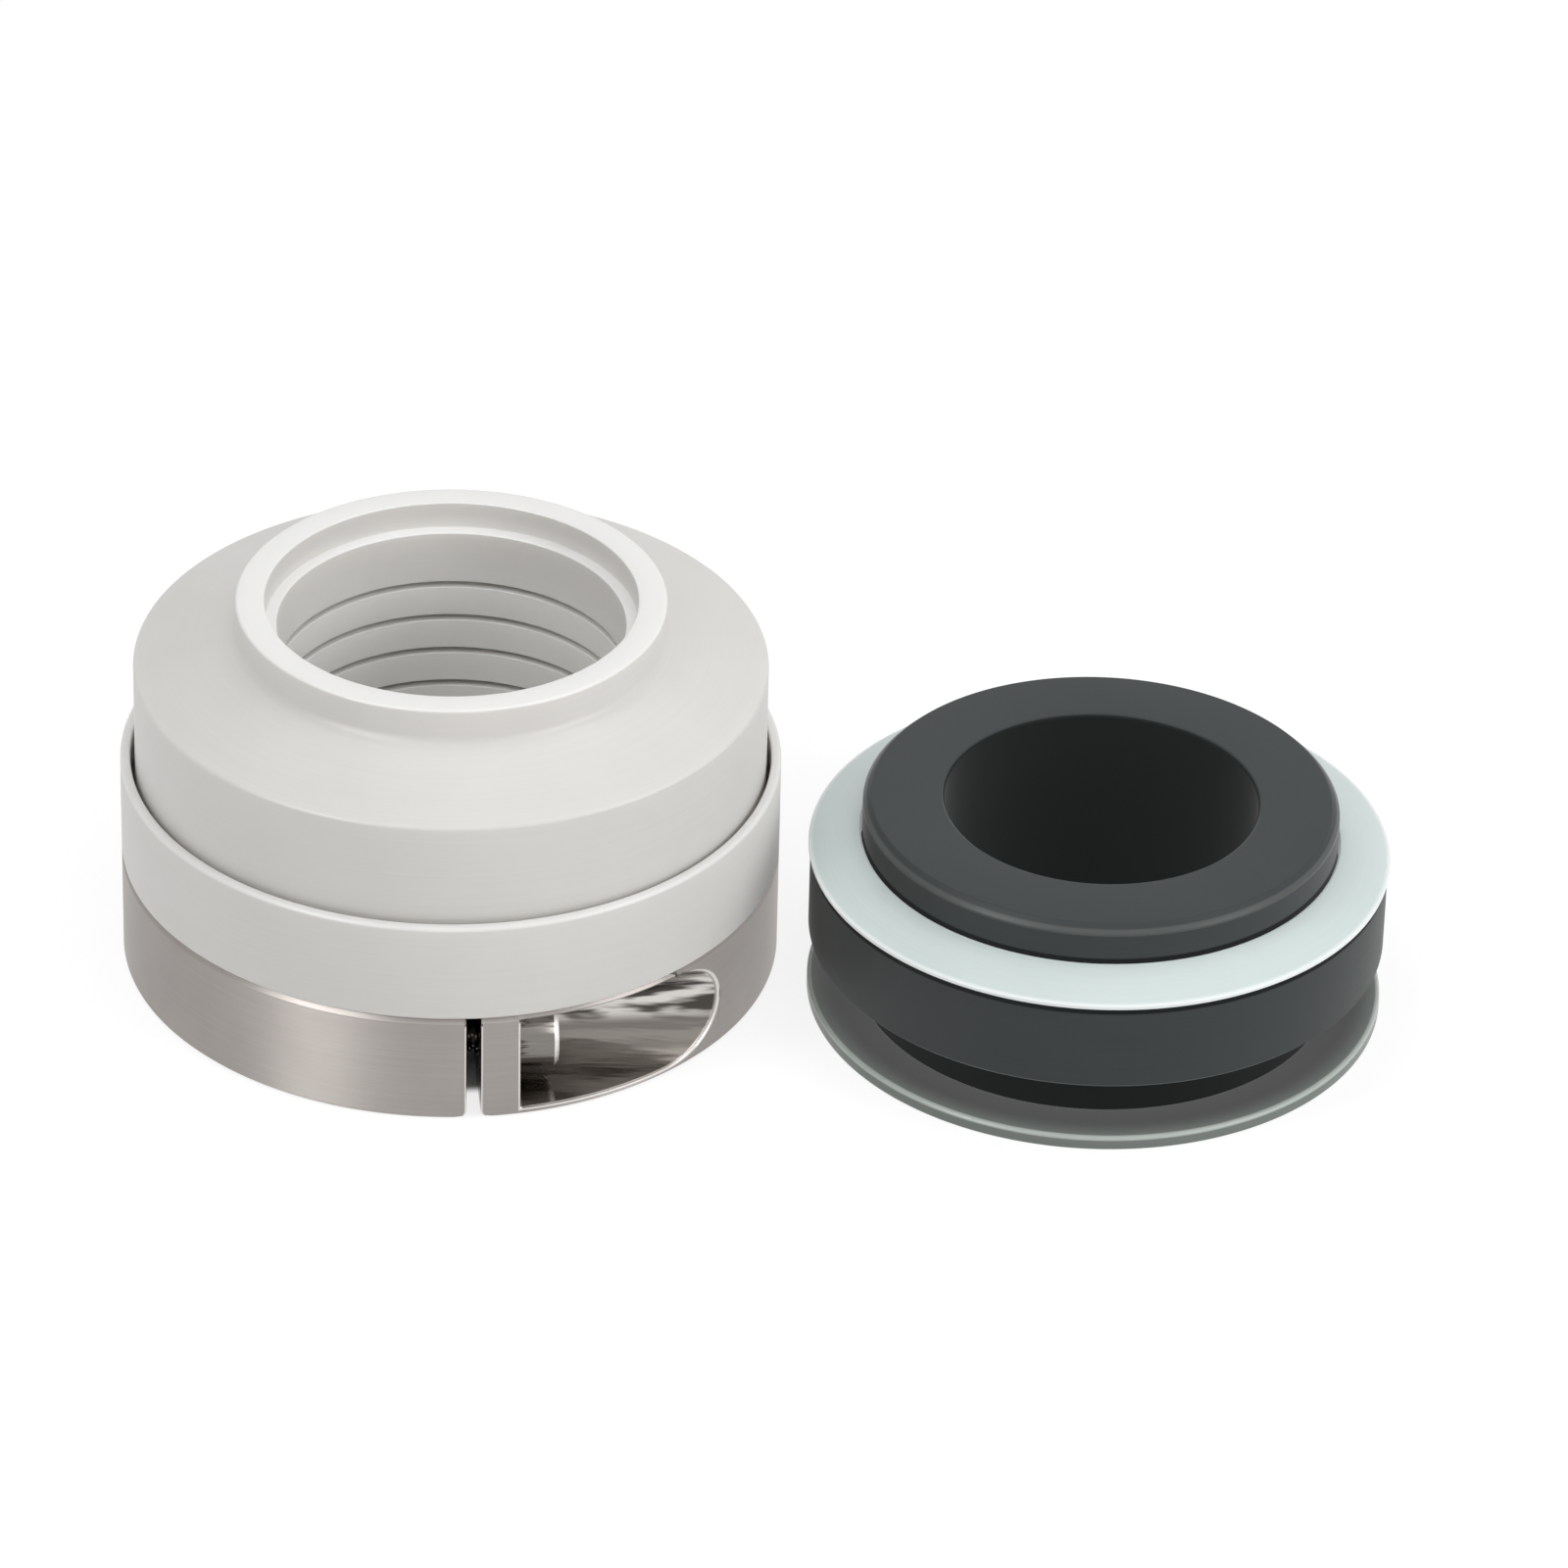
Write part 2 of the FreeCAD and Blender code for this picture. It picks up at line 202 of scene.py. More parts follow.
# %% [markdown]
# ## Marks that every lathe leaves
#
# A turned face carries fine rings from the tool, and here and there a short scratch along them.
# They follow the radius on flat faces and the height on walls, so one pattern that reads both
# suits every turned piece. An image texture could do the same, but it would need unwrapping and
# would blur up close. So this is a node group, built once, which each finish places with its own
# centre and spacing. It also puts out the radius and the height in millimetres, and with them a
# finish finds the places on a piece that look different from the rest.

# %% Helpers for node trees
def give(tree, socket, value):
    """Links the value to an input socket if it is a socket itself, and otherwise writes it there."""
    if isinstance(value, bpy.types.NodeSocket):
        tree.links.new(value, socket)
    elif value is not None:
        socket.default_value = value


def add(tree, kind, values=(), **settings):
    """A new node's first output. The values are for its inputs, by name or by number."""
    node = tree.nodes.new(kind)
    for setting, value in settings.items():
        setattr(node, setting, value)
    for name, value in dict(values).items():
        give(tree, node.inputs[name], value)
    return node.outputs[0]


def math_node(tree, operation, first, second=None):
    """A Math node's result. Each input is a socket or a plain number."""
    return add(tree, "ShaderNodeMath", {0: first, 1: second}, operation=operation)


def combine(tree, x, y, z):
    """A vector socket from three sockets or numbers."""
    return add(tree, "ShaderNodeCombineXYZ", {0: x, 1: y, 2: z})


def noise(tree, vector, scale, detail):
    """A noise texture's value, from 0 to 1."""
    return add(tree, "ShaderNodeTexNoise", {"Vector": vector, "Scale": scale, "Detail": detail})


def in_object(tree):
    """The Object coordinates' socket."""
    return tree.nodes.new("ShaderNodeTexCoord").outputs["Object"]


print("helpers: give, add, math_node, combine, noise, in_object")

# %% Make the group
MARK_INPUTS = [("Centre", "Vector", (0, 0, 0)), ("Rings per mm", "Float", 4.0), ("Wander", "Float", 1.0)]
MARK_OUTPUTS = ["Rings", "Scratches", "Mottle", "Radius", "Height"]

marks = bpy.data.node_groups.new("turning_marks", "ShaderNodeTree")
for socket_name, kind, value in MARK_INPUTS:
    socket = marks.interface.new_socket(socket_name, in_out="INPUT", socket_type="NodeSocket" + kind)
    socket.default_value = value
for socket_name in MARK_OUTPUTS:
    marks.interface.new_socket(socket_name, in_out="OUTPUT", socket_type="NodeSocketFloat")
given = marks.nodes.new("NodeGroupInput").outputs
wanted = marks.nodes.new("NodeGroupOutput").inputs
print("group:", marks.name, "outputs:", MARK_OUTPUTS)

# %% Radius, height and turn from the centre
places = {0: in_object(marks), 1: given["Centre"]}
split = marks.nodes.new("ShaderNodeSeparateXYZ")
give(marks, split.inputs[0], add(marks, "ShaderNodeVectorMath", places, operation="SUBTRACT"))
x, y, height = split.outputs
square = math_node(marks, "ADD", math_node(marks, "MULTIPLY", x, x), math_node(marks, "MULTIPLY", y, y))
radius = math_node(marks, "SQRT", square)
turn = math_node(marks, "ARCTAN2", y, x)
give(marks, wanted["Radius"], math_node(marks, "MULTIPLY", radius, 1 / MM))
give(marks, wanted["Height"], math_node(marks, "MULTIPLY", height, 1 / MM))
print("nodes so far:", len(marks.nodes))

# %% Rings, short scratches and faint clouds
def along_rings(per_metre, per_radian):
    """Noise coordinates that are stretched along the rings."""
    scales = ((radius, per_metre), (height, per_metre), (turn, per_radian))
    return combine(marks, *[math_node(marks, "MULTIPLY", length, scale) for length, scale in scales])


RING_DETAIL = 3
SCRATCHES_PER_METRE, SCRATCHES_PER_RADIAN, SCRATCH_DETAIL = 2600, 5, 1
SCRATCH_FROM, SCRATCH_FULL = 0.68, 0.8
CLOUD_SCALE, CLOUD_DETAIL = 90, 4

rings_per_metre = math_node(marks, "MULTIPLY", given["Rings per mm"], 1 / MM)
give(marks, wanted["Rings"], noise(marks, along_rings(rings_per_metre, given["Wander"]), 1, RING_DETAIL))
nicks = noise(marks, along_rings(SCRATCHES_PER_METRE, SCRATCHES_PER_RADIAN), 1, SCRATCH_DETAIL)
limits = {"Value": nicks, "From Min": SCRATCH_FROM, "From Max": SCRATCH_FULL}
give(marks, wanted["Scratches"], add(marks, "ShaderNodeMapRange", limits))
give(marks, wanted["Mottle"], noise(marks, in_object(marks), CLOUD_SCALE, CLOUD_DETAIL))
print("group:", marks.name, "nodes:", len(marks.nodes))

# %% [markdown]
# ## A finish for turned pieces
#
# All pieces that show came from a lathe, a mill or a grinder, so their materials are made alike.
# The colour drifts between two close shades with the clouds and the rings, the roughness drifts
# with the rings, and rings and scratches stand out by a few micrometres as a bump. One tree for
# each piece would allow more, but would mostly repeat itself. Colours are written as a screen
# shows them, from 0 to 255, and turned into the linear values that a shader takes.

# %% Colours as the eye names them
def linear(red, green, blue):
    """A colour read from a screen, 0 to 255, as the linear values that a shader takes."""
    values = []
    for part in (red, green, blue):
        part = part / 255
        values.append(part / 12.92 if part <= 0.04045 else ((part + 0.055) / 1.055) ** 2.4)
    return (*values, 1)


print("half grey on a screen, in linear values:", [round(part, 3) for part in linear(128, 128, 128)])

# %% Masks and mixes
def ramp(tree, value, start, end):
    """A socket that goes from 0 to 1 while the value goes from start to end."""
    limits = {"Value": value, "From Min": start, "From Max": end}
    return add(tree, "ShaderNodeMapRange", limits, interpolation_type="SMOOTHSTEP")


def overlap(tree, first, second):
    """A mask of where two masks overlap."""
    return math_node(tree, "MULTIPLY", first, second)


def either(tree, *masks):
    """A mask of where any of the masks is."""
    joined, *rest = masks
    for mask in rest:
        joined = math_node(tree, "MAXIMUM", joined, mask)
    return joined


def zone(tree, group, radii, heights):
    """A mask of the zone that a ramp over the radius and one over the height leave, in mm."""
    across = ramp(tree, group.outputs["Radius"], *radii)
    return overlap(tree, across, ramp(tree, group.outputs["Height"], *heights))


print("helpers: ramp, overlap, either, zone")

# %% Another colour under a mask
def between(tree, kind, factor, first, second):
    """A Mix node's result. First and second are sockets or plain values of that kind."""
    node = tree.nodes.new("ShaderNodeMix")
    node.data_type = kind
    wanted = "RGBA" if kind == "RGBA" else "VALUE"
    factor_socket, *rest = [socket for socket in node.inputs if socket.enabled]
    ends = [socket for socket in rest if socket.type == wanted]
    for socket, value in zip((factor_socket, *ends), (factor, first, second)):
        give(tree, socket, value)
    return [socket for socket in node.outputs if socket.enabled][0]


def refinish(material, mask, colour, roughness):
    """Gives the part of a material under the mask another colour and roughness."""
    tree = material.node_tree
    shader = tree.nodes["Principled BSDF"]
    for name, kind, value in (("Base Color", "RGBA", colour), ("Roughness", "FLOAT", roughness)):
        before = shader.inputs[name].links[0].from_socket
        give(tree, shader.inputs[name], between(tree, kind, mask, before, value))


print("helpers: between, refinish")

# %% A material for turned pieces
CLOUD_SHARE, RING_SHARE = 0.6, 0.4


def turned_material(name, darker, lighter, gloss, marks_depth, centre=(0, 0), rings_per_mm=4.0, **sockets):
    """A material that shifts between two colours and two roughnesses with the turning marks."""
    material = bpy.data.materials.new(name)
    material.use_nodes = True
    tree = material.node_tree
    shader = tree.nodes["Principled BSDF"]
    group = tree.nodes.new("ShaderNodeGroup")
    group.node_tree = marks
    group.inputs["Centre"].default_value = (centre[0] * MM, centre[1] * MM, 0)
    group.inputs["Rings per mm"].default_value = rings_per_mm
    cloud_part = math_node(tree, "MULTIPLY", group.outputs["Mottle"], CLOUD_SHARE)
    ring_part = math_node(tree, "MULTIPLY", group.outputs["Rings"], RING_SHARE)
    shift = math_node(tree, "ADD", cloud_part, ring_part)
    give(tree, shader.inputs["Base Color"], between(tree, "RGBA", shift, darker, lighter))
    limits = {"Value": group.outputs["Rings"], "To Min": gloss[0], "To Max": gloss[1]}
    give(tree, shader.inputs["Roughness"], add(tree, "ShaderNodeMapRange", limits))
    relief = math_node(tree, "ADD", group.outputs["Rings"], group.outputs["Scratches"])
    depth = {"Height": relief, "Strength": 1, "Distance": marks_depth * MM}
    give(tree, shader.inputs["Normal"], add(tree, "ShaderNodeBump", depth))
    for socket_name, value in sockets.items():
        shader.inputs[socket_name.replace("_", " ")].default_value = value
    print("material:", name)
    return material, tree, group


print("colour drifts with clouds and rings by", CLOUD_SHARE, RING_SHARE)

# %% [markdown]
# ## White PTFE
#
# The bellows and the cover are white PTFE. It is waxy: light goes a little way into it, so it
# gets some subsurface scattering and a soft gloss. A few places get a whiter colour and a lower
# roughness than the rest: the sealing face on the nose, which is lapped and also gets a painted
# highlight, painted highlights on the ledge inside its mouth and on the cover's rim, and painted
# light in the bore further down. They could be other materials on picked faces, but masks from
# radius and height need no picking and end softly.

# %% Mix the white PTFE
NOSE_LAPPED_AND_LIT = (39.4, 39.55)
RIM_RADII, RIM_HEIGHTS, RIM_SHARE = (31.5, 31.7), (21.6, 21.85), 0.6
BORE_RADII, BORE_HEIGHTS, BORE_SHARE = (17.9, 17.6), (35.5, 29.0), 0.65
LEDGE_RADII, LEDGE_HEIGHTS = (18.38, 18.25), (36.6, 36.75)

ptfe, tree, group = turned_material(
    "white_ptfe", linear(217, 215, 211), linear(231, 229, 226), (0.34, 0.46), 0.003,
    Subsurface_Weight=0.4, Subsurface_Radius=(1, 0.95, 0.9), Subsurface_Scale=0.0015)
# Painted highlights on the nose's lapped sealing face, the ledge and the cover's rim, and painted light deep
# in the bore, all in one whiter colour.
lapped_and_lit_nose = ramp(tree, group.outputs["Height"], *NOSE_LAPPED_AND_LIT)
rim_highlight = math_node(tree, "MULTIPLY", zone(tree, group, RIM_RADII, RIM_HEIGHTS), RIM_SHARE)
painted_bore_light = math_node(tree, "MULTIPLY", zone(tree, group, BORE_RADII, BORE_HEIGHTS), BORE_SHARE)
ledge = zone(tree, group, LEDGE_RADII, LEDGE_HEIGHTS)
refinish(ptfe, either(tree, lapped_and_lit_nose, rim_highlight, painted_bore_light, ledge), linear(247, 246, 244), 0.25)
print("nodes:", len(tree.nodes))

# %% [markdown]
# ## Turned and milled stainless steel
#
# The clamp ring is turned stainless steel. Its fine rings stretch each highlight into an upright
# streak, which the Anisotropic value does, turned by a quarter because the rings run round the
# axis. The screw's pocket and the slot were milled: they are glossier, and the cutter left marks
# along its cut. In the pocket their light and dark streaks are painted reflections in the colour,
# and below them the milled walls get a darker colour, painted shade. Facets could be modelled for
# the marks, but the real ones are far too shallow, so a noise stretched along the cut gives their
# relief and their painted streaks. The mask takes all that lies inside the ring's outer wall and
# below its top.

# %% Mix the turned stainless
SLOT_TURN = math.radians(5)
MILLED_RADII, MILLED_HEIGHTS = (32.6, 32.4), (11.3, 11.1)
STREAK_SCALE, STREAK_DETAIL, STREAK_CONTRAST = (110, 800, 800), 2, (0.42, 0.58)
STREAKS_ABOVE = (3.2, 4.6)
STREAK_DEPTH = 60


def laid_along_screw(tree, scale=(1, 1, 1)):
    """Object coordinates turned so that x runs along the clamp screw."""
    values = {"Vector": in_object(tree), "Rotation": (0, 0, -SLOT_TURN), "Scale": scale}
    return add(tree, "ShaderNodeMapping", values)


stainless, tree, group = turned_material(
    "turned_stainless", linear(142, 136, 132), linear(177, 172, 168), (0.36, 0.48), 0.002,
    rings_per_mm=6.0, Metallic=1.0, Anisotropic=0.9, Anisotropic_Rotation=0.25)
milled = zone(tree, group, MILLED_RADII, MILLED_HEIGHTS)
# The streaks' light and dark colours are painted reflections; the darker lower wall is painted shade.
cutter_marks_and_glints = noise(tree, laid_along_screw(tree, STREAK_SCALE), 1, STREAK_DETAIL)
streaks = ramp(tree, cutter_marks_and_glints, *STREAK_CONTRAST)
painted_glints = between(tree, "RGBA", streaks, linear(74, 70, 66), linear(212, 208, 203))
pocket_wall = ramp(tree, group.outputs["Height"], *STREAKS_ABOVE)
refinish(stainless, milled, between(tree, "RGBA", pocket_wall, linear(120, 115, 110), painted_glints), 0.16)
bump_height = tree.nodes["Bump"].inputs["Height"]
relief = bump_height.links[0].from_socket
deep_marks = math_node(tree, "MULTIPLY", cutter_marks_and_glints, STREAK_DEPTH)
give(tree, bump_height, between(tree, "FLOAT", milled, relief, deep_marks))
print("nodes:", len(tree.nodes))

# %% [markdown]
# ## Edges, screw and spring wire
#
# Three more steels are small on the object but catch the light. The broken edges of slot and
# pocket get a nearly white colour, a painted highlight, but for the one at the pocket's top,
# whose darker colour is painted shade. The clamp screw is darker than the ring and has a painted
# highlight on the rim at the open end of its head. The spring wire is plain drawn steel. One
# steel for all would do from afar, but up close these differences tell the pieces apart. The
# rim's mask runs along the screw, not round the seal's axis.

# %% Mix the other steels
SHADED_ABOVE = (10.6, 10.9)
HEAD_RIM = (8.05 * MM, 8.2 * MM)

# The edge steel's nearly white colour is a painted highlight on the broken edges.
painted_edge_steel, tree, group = turned_material(
    "edge_highlight_steel", linear(204, 200, 196), linear(226, 223, 219), (0.25, 0.35), 0.001,
    Metallic=1.0)
# Painted shade: a darker colour on the broken edge at the pocket's top.
refinish(painted_edge_steel, ramp(tree, group.outputs["Height"], *SHADED_ABOVE), linear(104, 100, 96), 0.4)
screw_steel, tree, _ = turned_material(
    "bright_screw_steel", linear(114, 110, 106), linear(140, 136, 132), (0.2, 0.3), 0.001,
    rings_per_mm=3.0, Metallic=1.0)
way_along = add(tree, "ShaderNodeSeparateXYZ", {0: laid_along_screw(tree)})
# A painted highlight on the rim at the open end of the screw's head.
refinish(screw_steel, ramp(tree, way_along, *HEAD_RIM), linear(226, 223, 220), 0.5)
spring_steel, _, _ = turned_material(
    "drawn_spring_wire", linear(128, 128, 128), linear(160, 160, 160), (0.25, 0.35), 0.001,
    rings_per_mm=2.0, Metallic=1.0)
print("steels:", [steel.name for steel in (stainless, painted_edge_steel, screw_steel, spring_steel)])

# %% [markdown]
# ## Silicon carbide
#
# The seat is silicon carbide, a dark ceramic that is satin where it was ground. It mirrors little
# of the white room, so its specular level is low. Its bore, its neck under the flange and the thin
# seams beside the upper gasket get a rough black, which is painted shade. Wider gaps would look
# dark by themselves, but they wouldn't be true to size, so masks paint this shade. The foot of
# the collar's chamfer gets a lighter line, a painted highlight, as the photograph shows it.

# %% Mix the silicon carbide
CHAMFER_RADII, CHAMFER_HEIGHTS = (23.1, 23.3), (21.35, 21.6)
SEAM_SHADE_FROM, SEAM_SHADE_TO = (15.65, 15.9), (19.0, 18.8)
SEAT_BORE_INSIDE, FLANGE_ABOVE = (15.75, 15.6), (7.35, 7.2)

carbide, tree, group = turned_material(
    "silicon_carbide", linear(52, 56, 56), linear(63, 67, 67), (0.4, 0.5), 0.002,
    centre=SEAT_CENTRE, rings_per_mm=5.0, Specular_IOR_Level=0.2)
# A painted highlight: a lighter line at the foot of the collar's chamfer.
refinish(carbide, zone(tree, group, CHAMFER_RADII, CHAMFER_HEIGHTS), linear(84, 87, 86), 0.3)
level = group.outputs["Height"]
# Painted shade: a rough black in the bore, under the flange and in the seams beside the upper gasket.
painted_seam_shade = overlap(tree, ramp(tree, level, *SEAM_SHADE_FROM), ramp(tree, level, *SEAM_SHADE_TO))
in_bore = ramp(tree, group.outputs["Radius"], *SEAT_BORE_INSIDE)
under_flange = ramp(tree, level, *FLANGE_ABOVE)
refinish(carbide, either(tree, in_bore, under_flange, painted_seam_shade), linear(6, 10, 10), 0.7)
print("nodes:", len(tree.nodes))

# %% [markdown]
# ## Gasket PTFE
#
# Both gaskets are PTFE with a cool tint. The upper one is pale, and its thin outer edge gets a
# lighter colour, a painted highlight. The lower one is given dark colours that are painted shade
# from the flange above it: it is dark beside the neck and lighter towards its rim, and its upper
# corner gets a painted highlight.

# %% Mix the gaskets' PTFE
THIN_EDGE = (28.3, 28.7)
TOWARDS_RIM = (25.8, 29.6)
CORNER_RADII, CORNER_HEIGHTS = (28.1, 28.3), (0.95, 1.15)
gasket_glow = {"Subsurface_Weight": 0.2, "Subsurface_Radius": (0.95, 1, 1), "Subsurface_Scale": 0.001}

upper_ptfe, tree, group = turned_material(
    "upper_gasket_ptfe", linear(205, 218, 216), linear(222, 234, 232), (0.3, 0.42), 0.002,
    centre=SEAT_CENTRE, **gasket_glow)
# A painted highlight: a lighter colour along the upper gasket's thin outer edge.
refinish(upper_ptfe, ramp(tree, group.outputs["Radius"], *THIN_EDGE), linear(244, 250, 249), 0.2)
# Painted shade: the lower gasket is dark beside the neck, under the flange, and lighter towards its rim.
lower_ptfe, tree, group = turned_material(
    "lower_gasket_ptfe", linear(44, 48, 45), linear(54, 58, 55), (0.3, 0.42), 0.001,
    centre=SEAT_CENTRE, **gasket_glow)
refinish(lower_ptfe, ramp(tree, group.outputs["Radius"], *TOWARDS_RIM), linear(128, 136, 130), 0.3)
# A painted highlight on the lower gasket's upper corner.
refinish(lower_ptfe, zone(tree, group, CORNER_RADII, CORNER_HEIGHTS), linear(186, 194, 188), 0.3)
print("gasket finishes:", upper_ptfe.name, lower_ptfe.name)

# %% [markdown]
# ## The bellows
#
# On the real seal this is one bar of PTFE, turned all over: a nose with the sealing face, a cone
# down to the head, a skirt that enters the cover, and below it thin folds and a tail. The folds
# squeeze when the head is pushed down, and the head and its skirt don't. One mesh would have to
# be stiff in one part and bend in the other. So the dressed bellows is two meshes that meet inside
# the first groove, where nobody can look: the upper one rides stiffly on the head, and the lower
# one, the folds and the tail, rides on no body.

# %% Turn the bellows' head
BORE, FOLD, HEAD, NOSE, NOSE_BORE, SKIRT = 17.2, 23.0, 31.35, 21.25, 18.4, 29.15
SKIRT_FOOT, GROOVE_TOP, HEAD_UNDER, HEAD_TOP = 19.4, 31.125, 31.5, 32.6
NOSE_FOOT, LEDGE, NOSE_TOP = 36.0, 36.8, 39.6

head_outline = [
    (BORE, GROOVE_TOP, 0.1),
    (FOLD, GROOVE_TOP, 0),
    (FOLD, HEAD_UNDER, 0),
    (SKIRT, HEAD_UNDER, 0.3),
    (SKIRT, SKIRT_FOOT, 0.2),
    (HEAD, SKIRT_FOOT, 0.3),
    (HEAD, HEAD_TOP, 0.45),
    (NOSE, NOSE_FOOT, 1.0),
    (NOSE, NOSE_TOP, 0.3),
    (NOSE_BORE, NOSE_TOP, 0.15),
    (NOSE_BORE, LEDGE, 0.2),
    (BORE, LEDGE, 0.12),
]
piece(
    "bellows_head", turned_mesh("bellows_head", head_outline), "sealing_head", "white_ptfe",
    ["bellows"], ptfe)

# %% Outline the folds and the tail
GROOVE, MEMBRANE, PITCH, FOLDS = 0.65, 1.0, 3.85, 4
TAIL, TAIL_BORE, TAIL_FOOT, TAIL_TOP = 18.2, 15.0, 4.0, 15.5
OUTER_GROOVE_FLOOR, INNER_GROOVE_FLOOR = 18.3, 21.9

groove_tops = [GROOVE_TOP - PITCH * i for i in range(FOLDS)]
folds_foot = groove_tops[-1] - GROOVE - MEMBRANE
outside = [(TAIL_BORE, TAIL_FOOT, 0.2), (TAIL, TAIL_FOOT, 0.2)]
outside += [(TAIL, folds_foot, 0.1), (FOLD, folds_foot, 0.2)]
for top, above in zip(groove_tops[:0:-1], groove_tops[-2::-1]):
    low, high = top + MEMBRANE, above - GROOVE - MEMBRANE
    outside += [(FOLD, low, 0.2), (OUTER_GROOVE_FLOOR, low, 0.3)]
    outside += [(OUTER_GROOVE_FLOOR, high, 0.3), (FOLD, high, 0.2)]
inside = [(FOLD, GROOVE_TOP, 0), (INNER_GROOVE_FLOOR, GROOVE_TOP, 0)]
for number, top in enumerate(groove_tops):
    if number:
        inside += [(BORE, top, 0.1), (INNER_GROOVE_FLOOR, top, 0.2)]
    inside += [(INNER_GROOVE_FLOOR, top - GROOVE, 0.2), (BORE, top - GROOVE, 0.1)]
inside += [(BORE, TAIL_TOP, 0.2), (TAIL_BORE, TAIL_TOP, 0.2)]
print("groove tops in mm:", [round(top, 3) for top in groove_tops])

# %% Turn them
bellows_folds = piece(
    "bellows_folds", turned_mesh("bellows_folds", outside + inside), None, "white_ptfe",
    ["bellows"], ptfe)
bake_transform(bellows_folds)
print("folds close between mm:", round(folds_foot, 3), GROOVE_TOP)

# %% [markdown]
# ## Cutting holes
#
# The clamp ring and the cover aren't purely turned: a slot, a milled pocket and drilled holes go
# through them. Faces could be built round each hole by hand. Blender's Boolean modifier instead
# subtracts simple solids from the turned mesh, as the milling machine would. Where a cut meets
# the fine steps of a turned edge it leaves crumbs, which a Weld merges, and then a narrow Bevel
# breaks the sharp edges. It gives its faces a material of their own, whose light colour is a
# painted highlight along the broken edges.

# %% Prisms and circles for cutters
def extruded_mesh(name, outline, along, start, end):
    """A prism, in metres, from an outline of points in mm in the plane across the axis named."""
    axis = "xyz".index(along)
    mesh = bpy.data.meshes.new(name)
    corners = []
    for level in (start, end):
        for a, b in outline:
            point = [a, b]
            point.insert(axis, level)
            corners.append([value * MM for value in point])
    count = len(outline)
    sides = [(i, (i + 1) % count, count + (i + 1) % count, count + i) for i in range(count)]
    mesh.from_pydata(corners, [], sides + [list(range(count)), list(range(count, 2 * count))])
    finish_mesh(mesh)
    return mesh


def circle_outline(middle, radius, first=0, last=360, steps=64):
    """Points on a circle, or on an arc of it, as (a, b) pairs in mm."""
    whole = last - first == 360
    turns = [math.radians(first + (last - first) * i / steps) for i in range(steps + (not whole))]
    return [(middle[0] + radius * math.cos(t), middle[1] + radius * math.sin(t)) for t in turns]


print("points on a full circle:", len(circle_outline((0, 0), 1)))

# %% Holes for the drive pins
PIN_ANGLES = [math.radians(95 + 120 * i) for i in range(3)]
STATION_RADIUS = 26.1
PIN_HOLE, PIN_HOLE_TOP = 1.35, 13


def pin_hole_cutters(low):
    """One upright cylinder at each drive pin, from that level up through the cover's floor."""
    cutters = []
    for turn in PIN_ANGLES:
        middle = (STATION_RADIUS * math.cos(turn), STATION_RADIUS * math.sin(turn))
        cutters.append(extruded_mesh("pin_hole", circle_outline(middle, PIN_HOLE), "z", low, PIN_HOLE_TOP))
    return cutters


print("pin stations in degrees:", [round(math.degrees(turn)) for turn in PIN_ANGLES])

# %% Subtract the cutters and break the edges
CRUMB = 0.12
BEVEL_FROM, BEVEL_STEPS = 47, 2


def cut_mesh(mesh, cutters, bevel=0.0, edge_material=-1):
    """The mesh with the cutters subtracted and its edges broken by the bevel, in mm."""
    block = bpy.data.objects.new("block", mesh)
    bpy.context.scene.collection.objects.link(block)
    helpers = []
    for cutter in cutters:
        tool = bpy.data.objects.new("cutter", cutter)
        bpy.context.scene.collection.objects.link(tool)
        helpers.append(tool)
        modifier = block.modifiers.new("cut", "BOOLEAN")
        modifier.operation = "DIFFERENCE"
        modifier.solver = "MANIFOLD"
        modifier.object = tool
    if bevel:
        modifier = block.modifiers.new("crumbs", "WELD")
        modifier.merge_threshold = CRUMB * MM
        modifier = block.modifiers.new("edges", "BEVEL")
        modifier.width = bevel * MM
        modifier.segments = BEVEL_STEPS
        modifier.limit_method = "ANGLE"
        modifier.angle_limit = math.radians(BEVEL_FROM)
        modifier.material = edge_material
        modifier.use_clamp_overlap = False
    depsgraph = bpy.context.evaluated_depsgraph_get()
    result = bpy.data.meshes.new_from_object(block.evaluated_get(depsgraph))
    for helper in [block, *helpers]:
        bpy.data.objects.remove(helper)
    result.shade_smooth()
    result.set_sharp_from_angle(angle=math.radians(SHARP_FROM))
    return result


print("edges are broken from", BEVEL_FROM, "degrees")

# %% [markdown]
# ## The clamp ring
#
# A split ring of stainless steel. Its one slot closes when the screw is tightened, and it flares
# at its foot. The screw's head lies in a pocket milled in from the outside: round towards the
# shaft, open to the front. The pocket could be drawn where it lies, but it is simpler to make all
# cutters square to the slot and then turn them by the slot's angle together.

# %% Shape the slot's and the pocket's cutters
SLOT_HALF, FLARE_HALF, FLARE_RADIUS, FLARE_LEVEL = 0.7, 1.6, 0.9, 0.88
SCREW_OFFSET, SCREW_LEVEL, POCKET, POCKET_START = 26.4, 5.9, 5.15, 4.6
LOOSE_HOLE, TAPPED_HOLE, TAPPED_END = 2.25, 2.0, -10.9
ABOVE, BELOW, OUTSIDE, FURTHER_OUT, PAST_LAND, PAST_SLOT = 13, -1, 40, 45, 1, 0.5

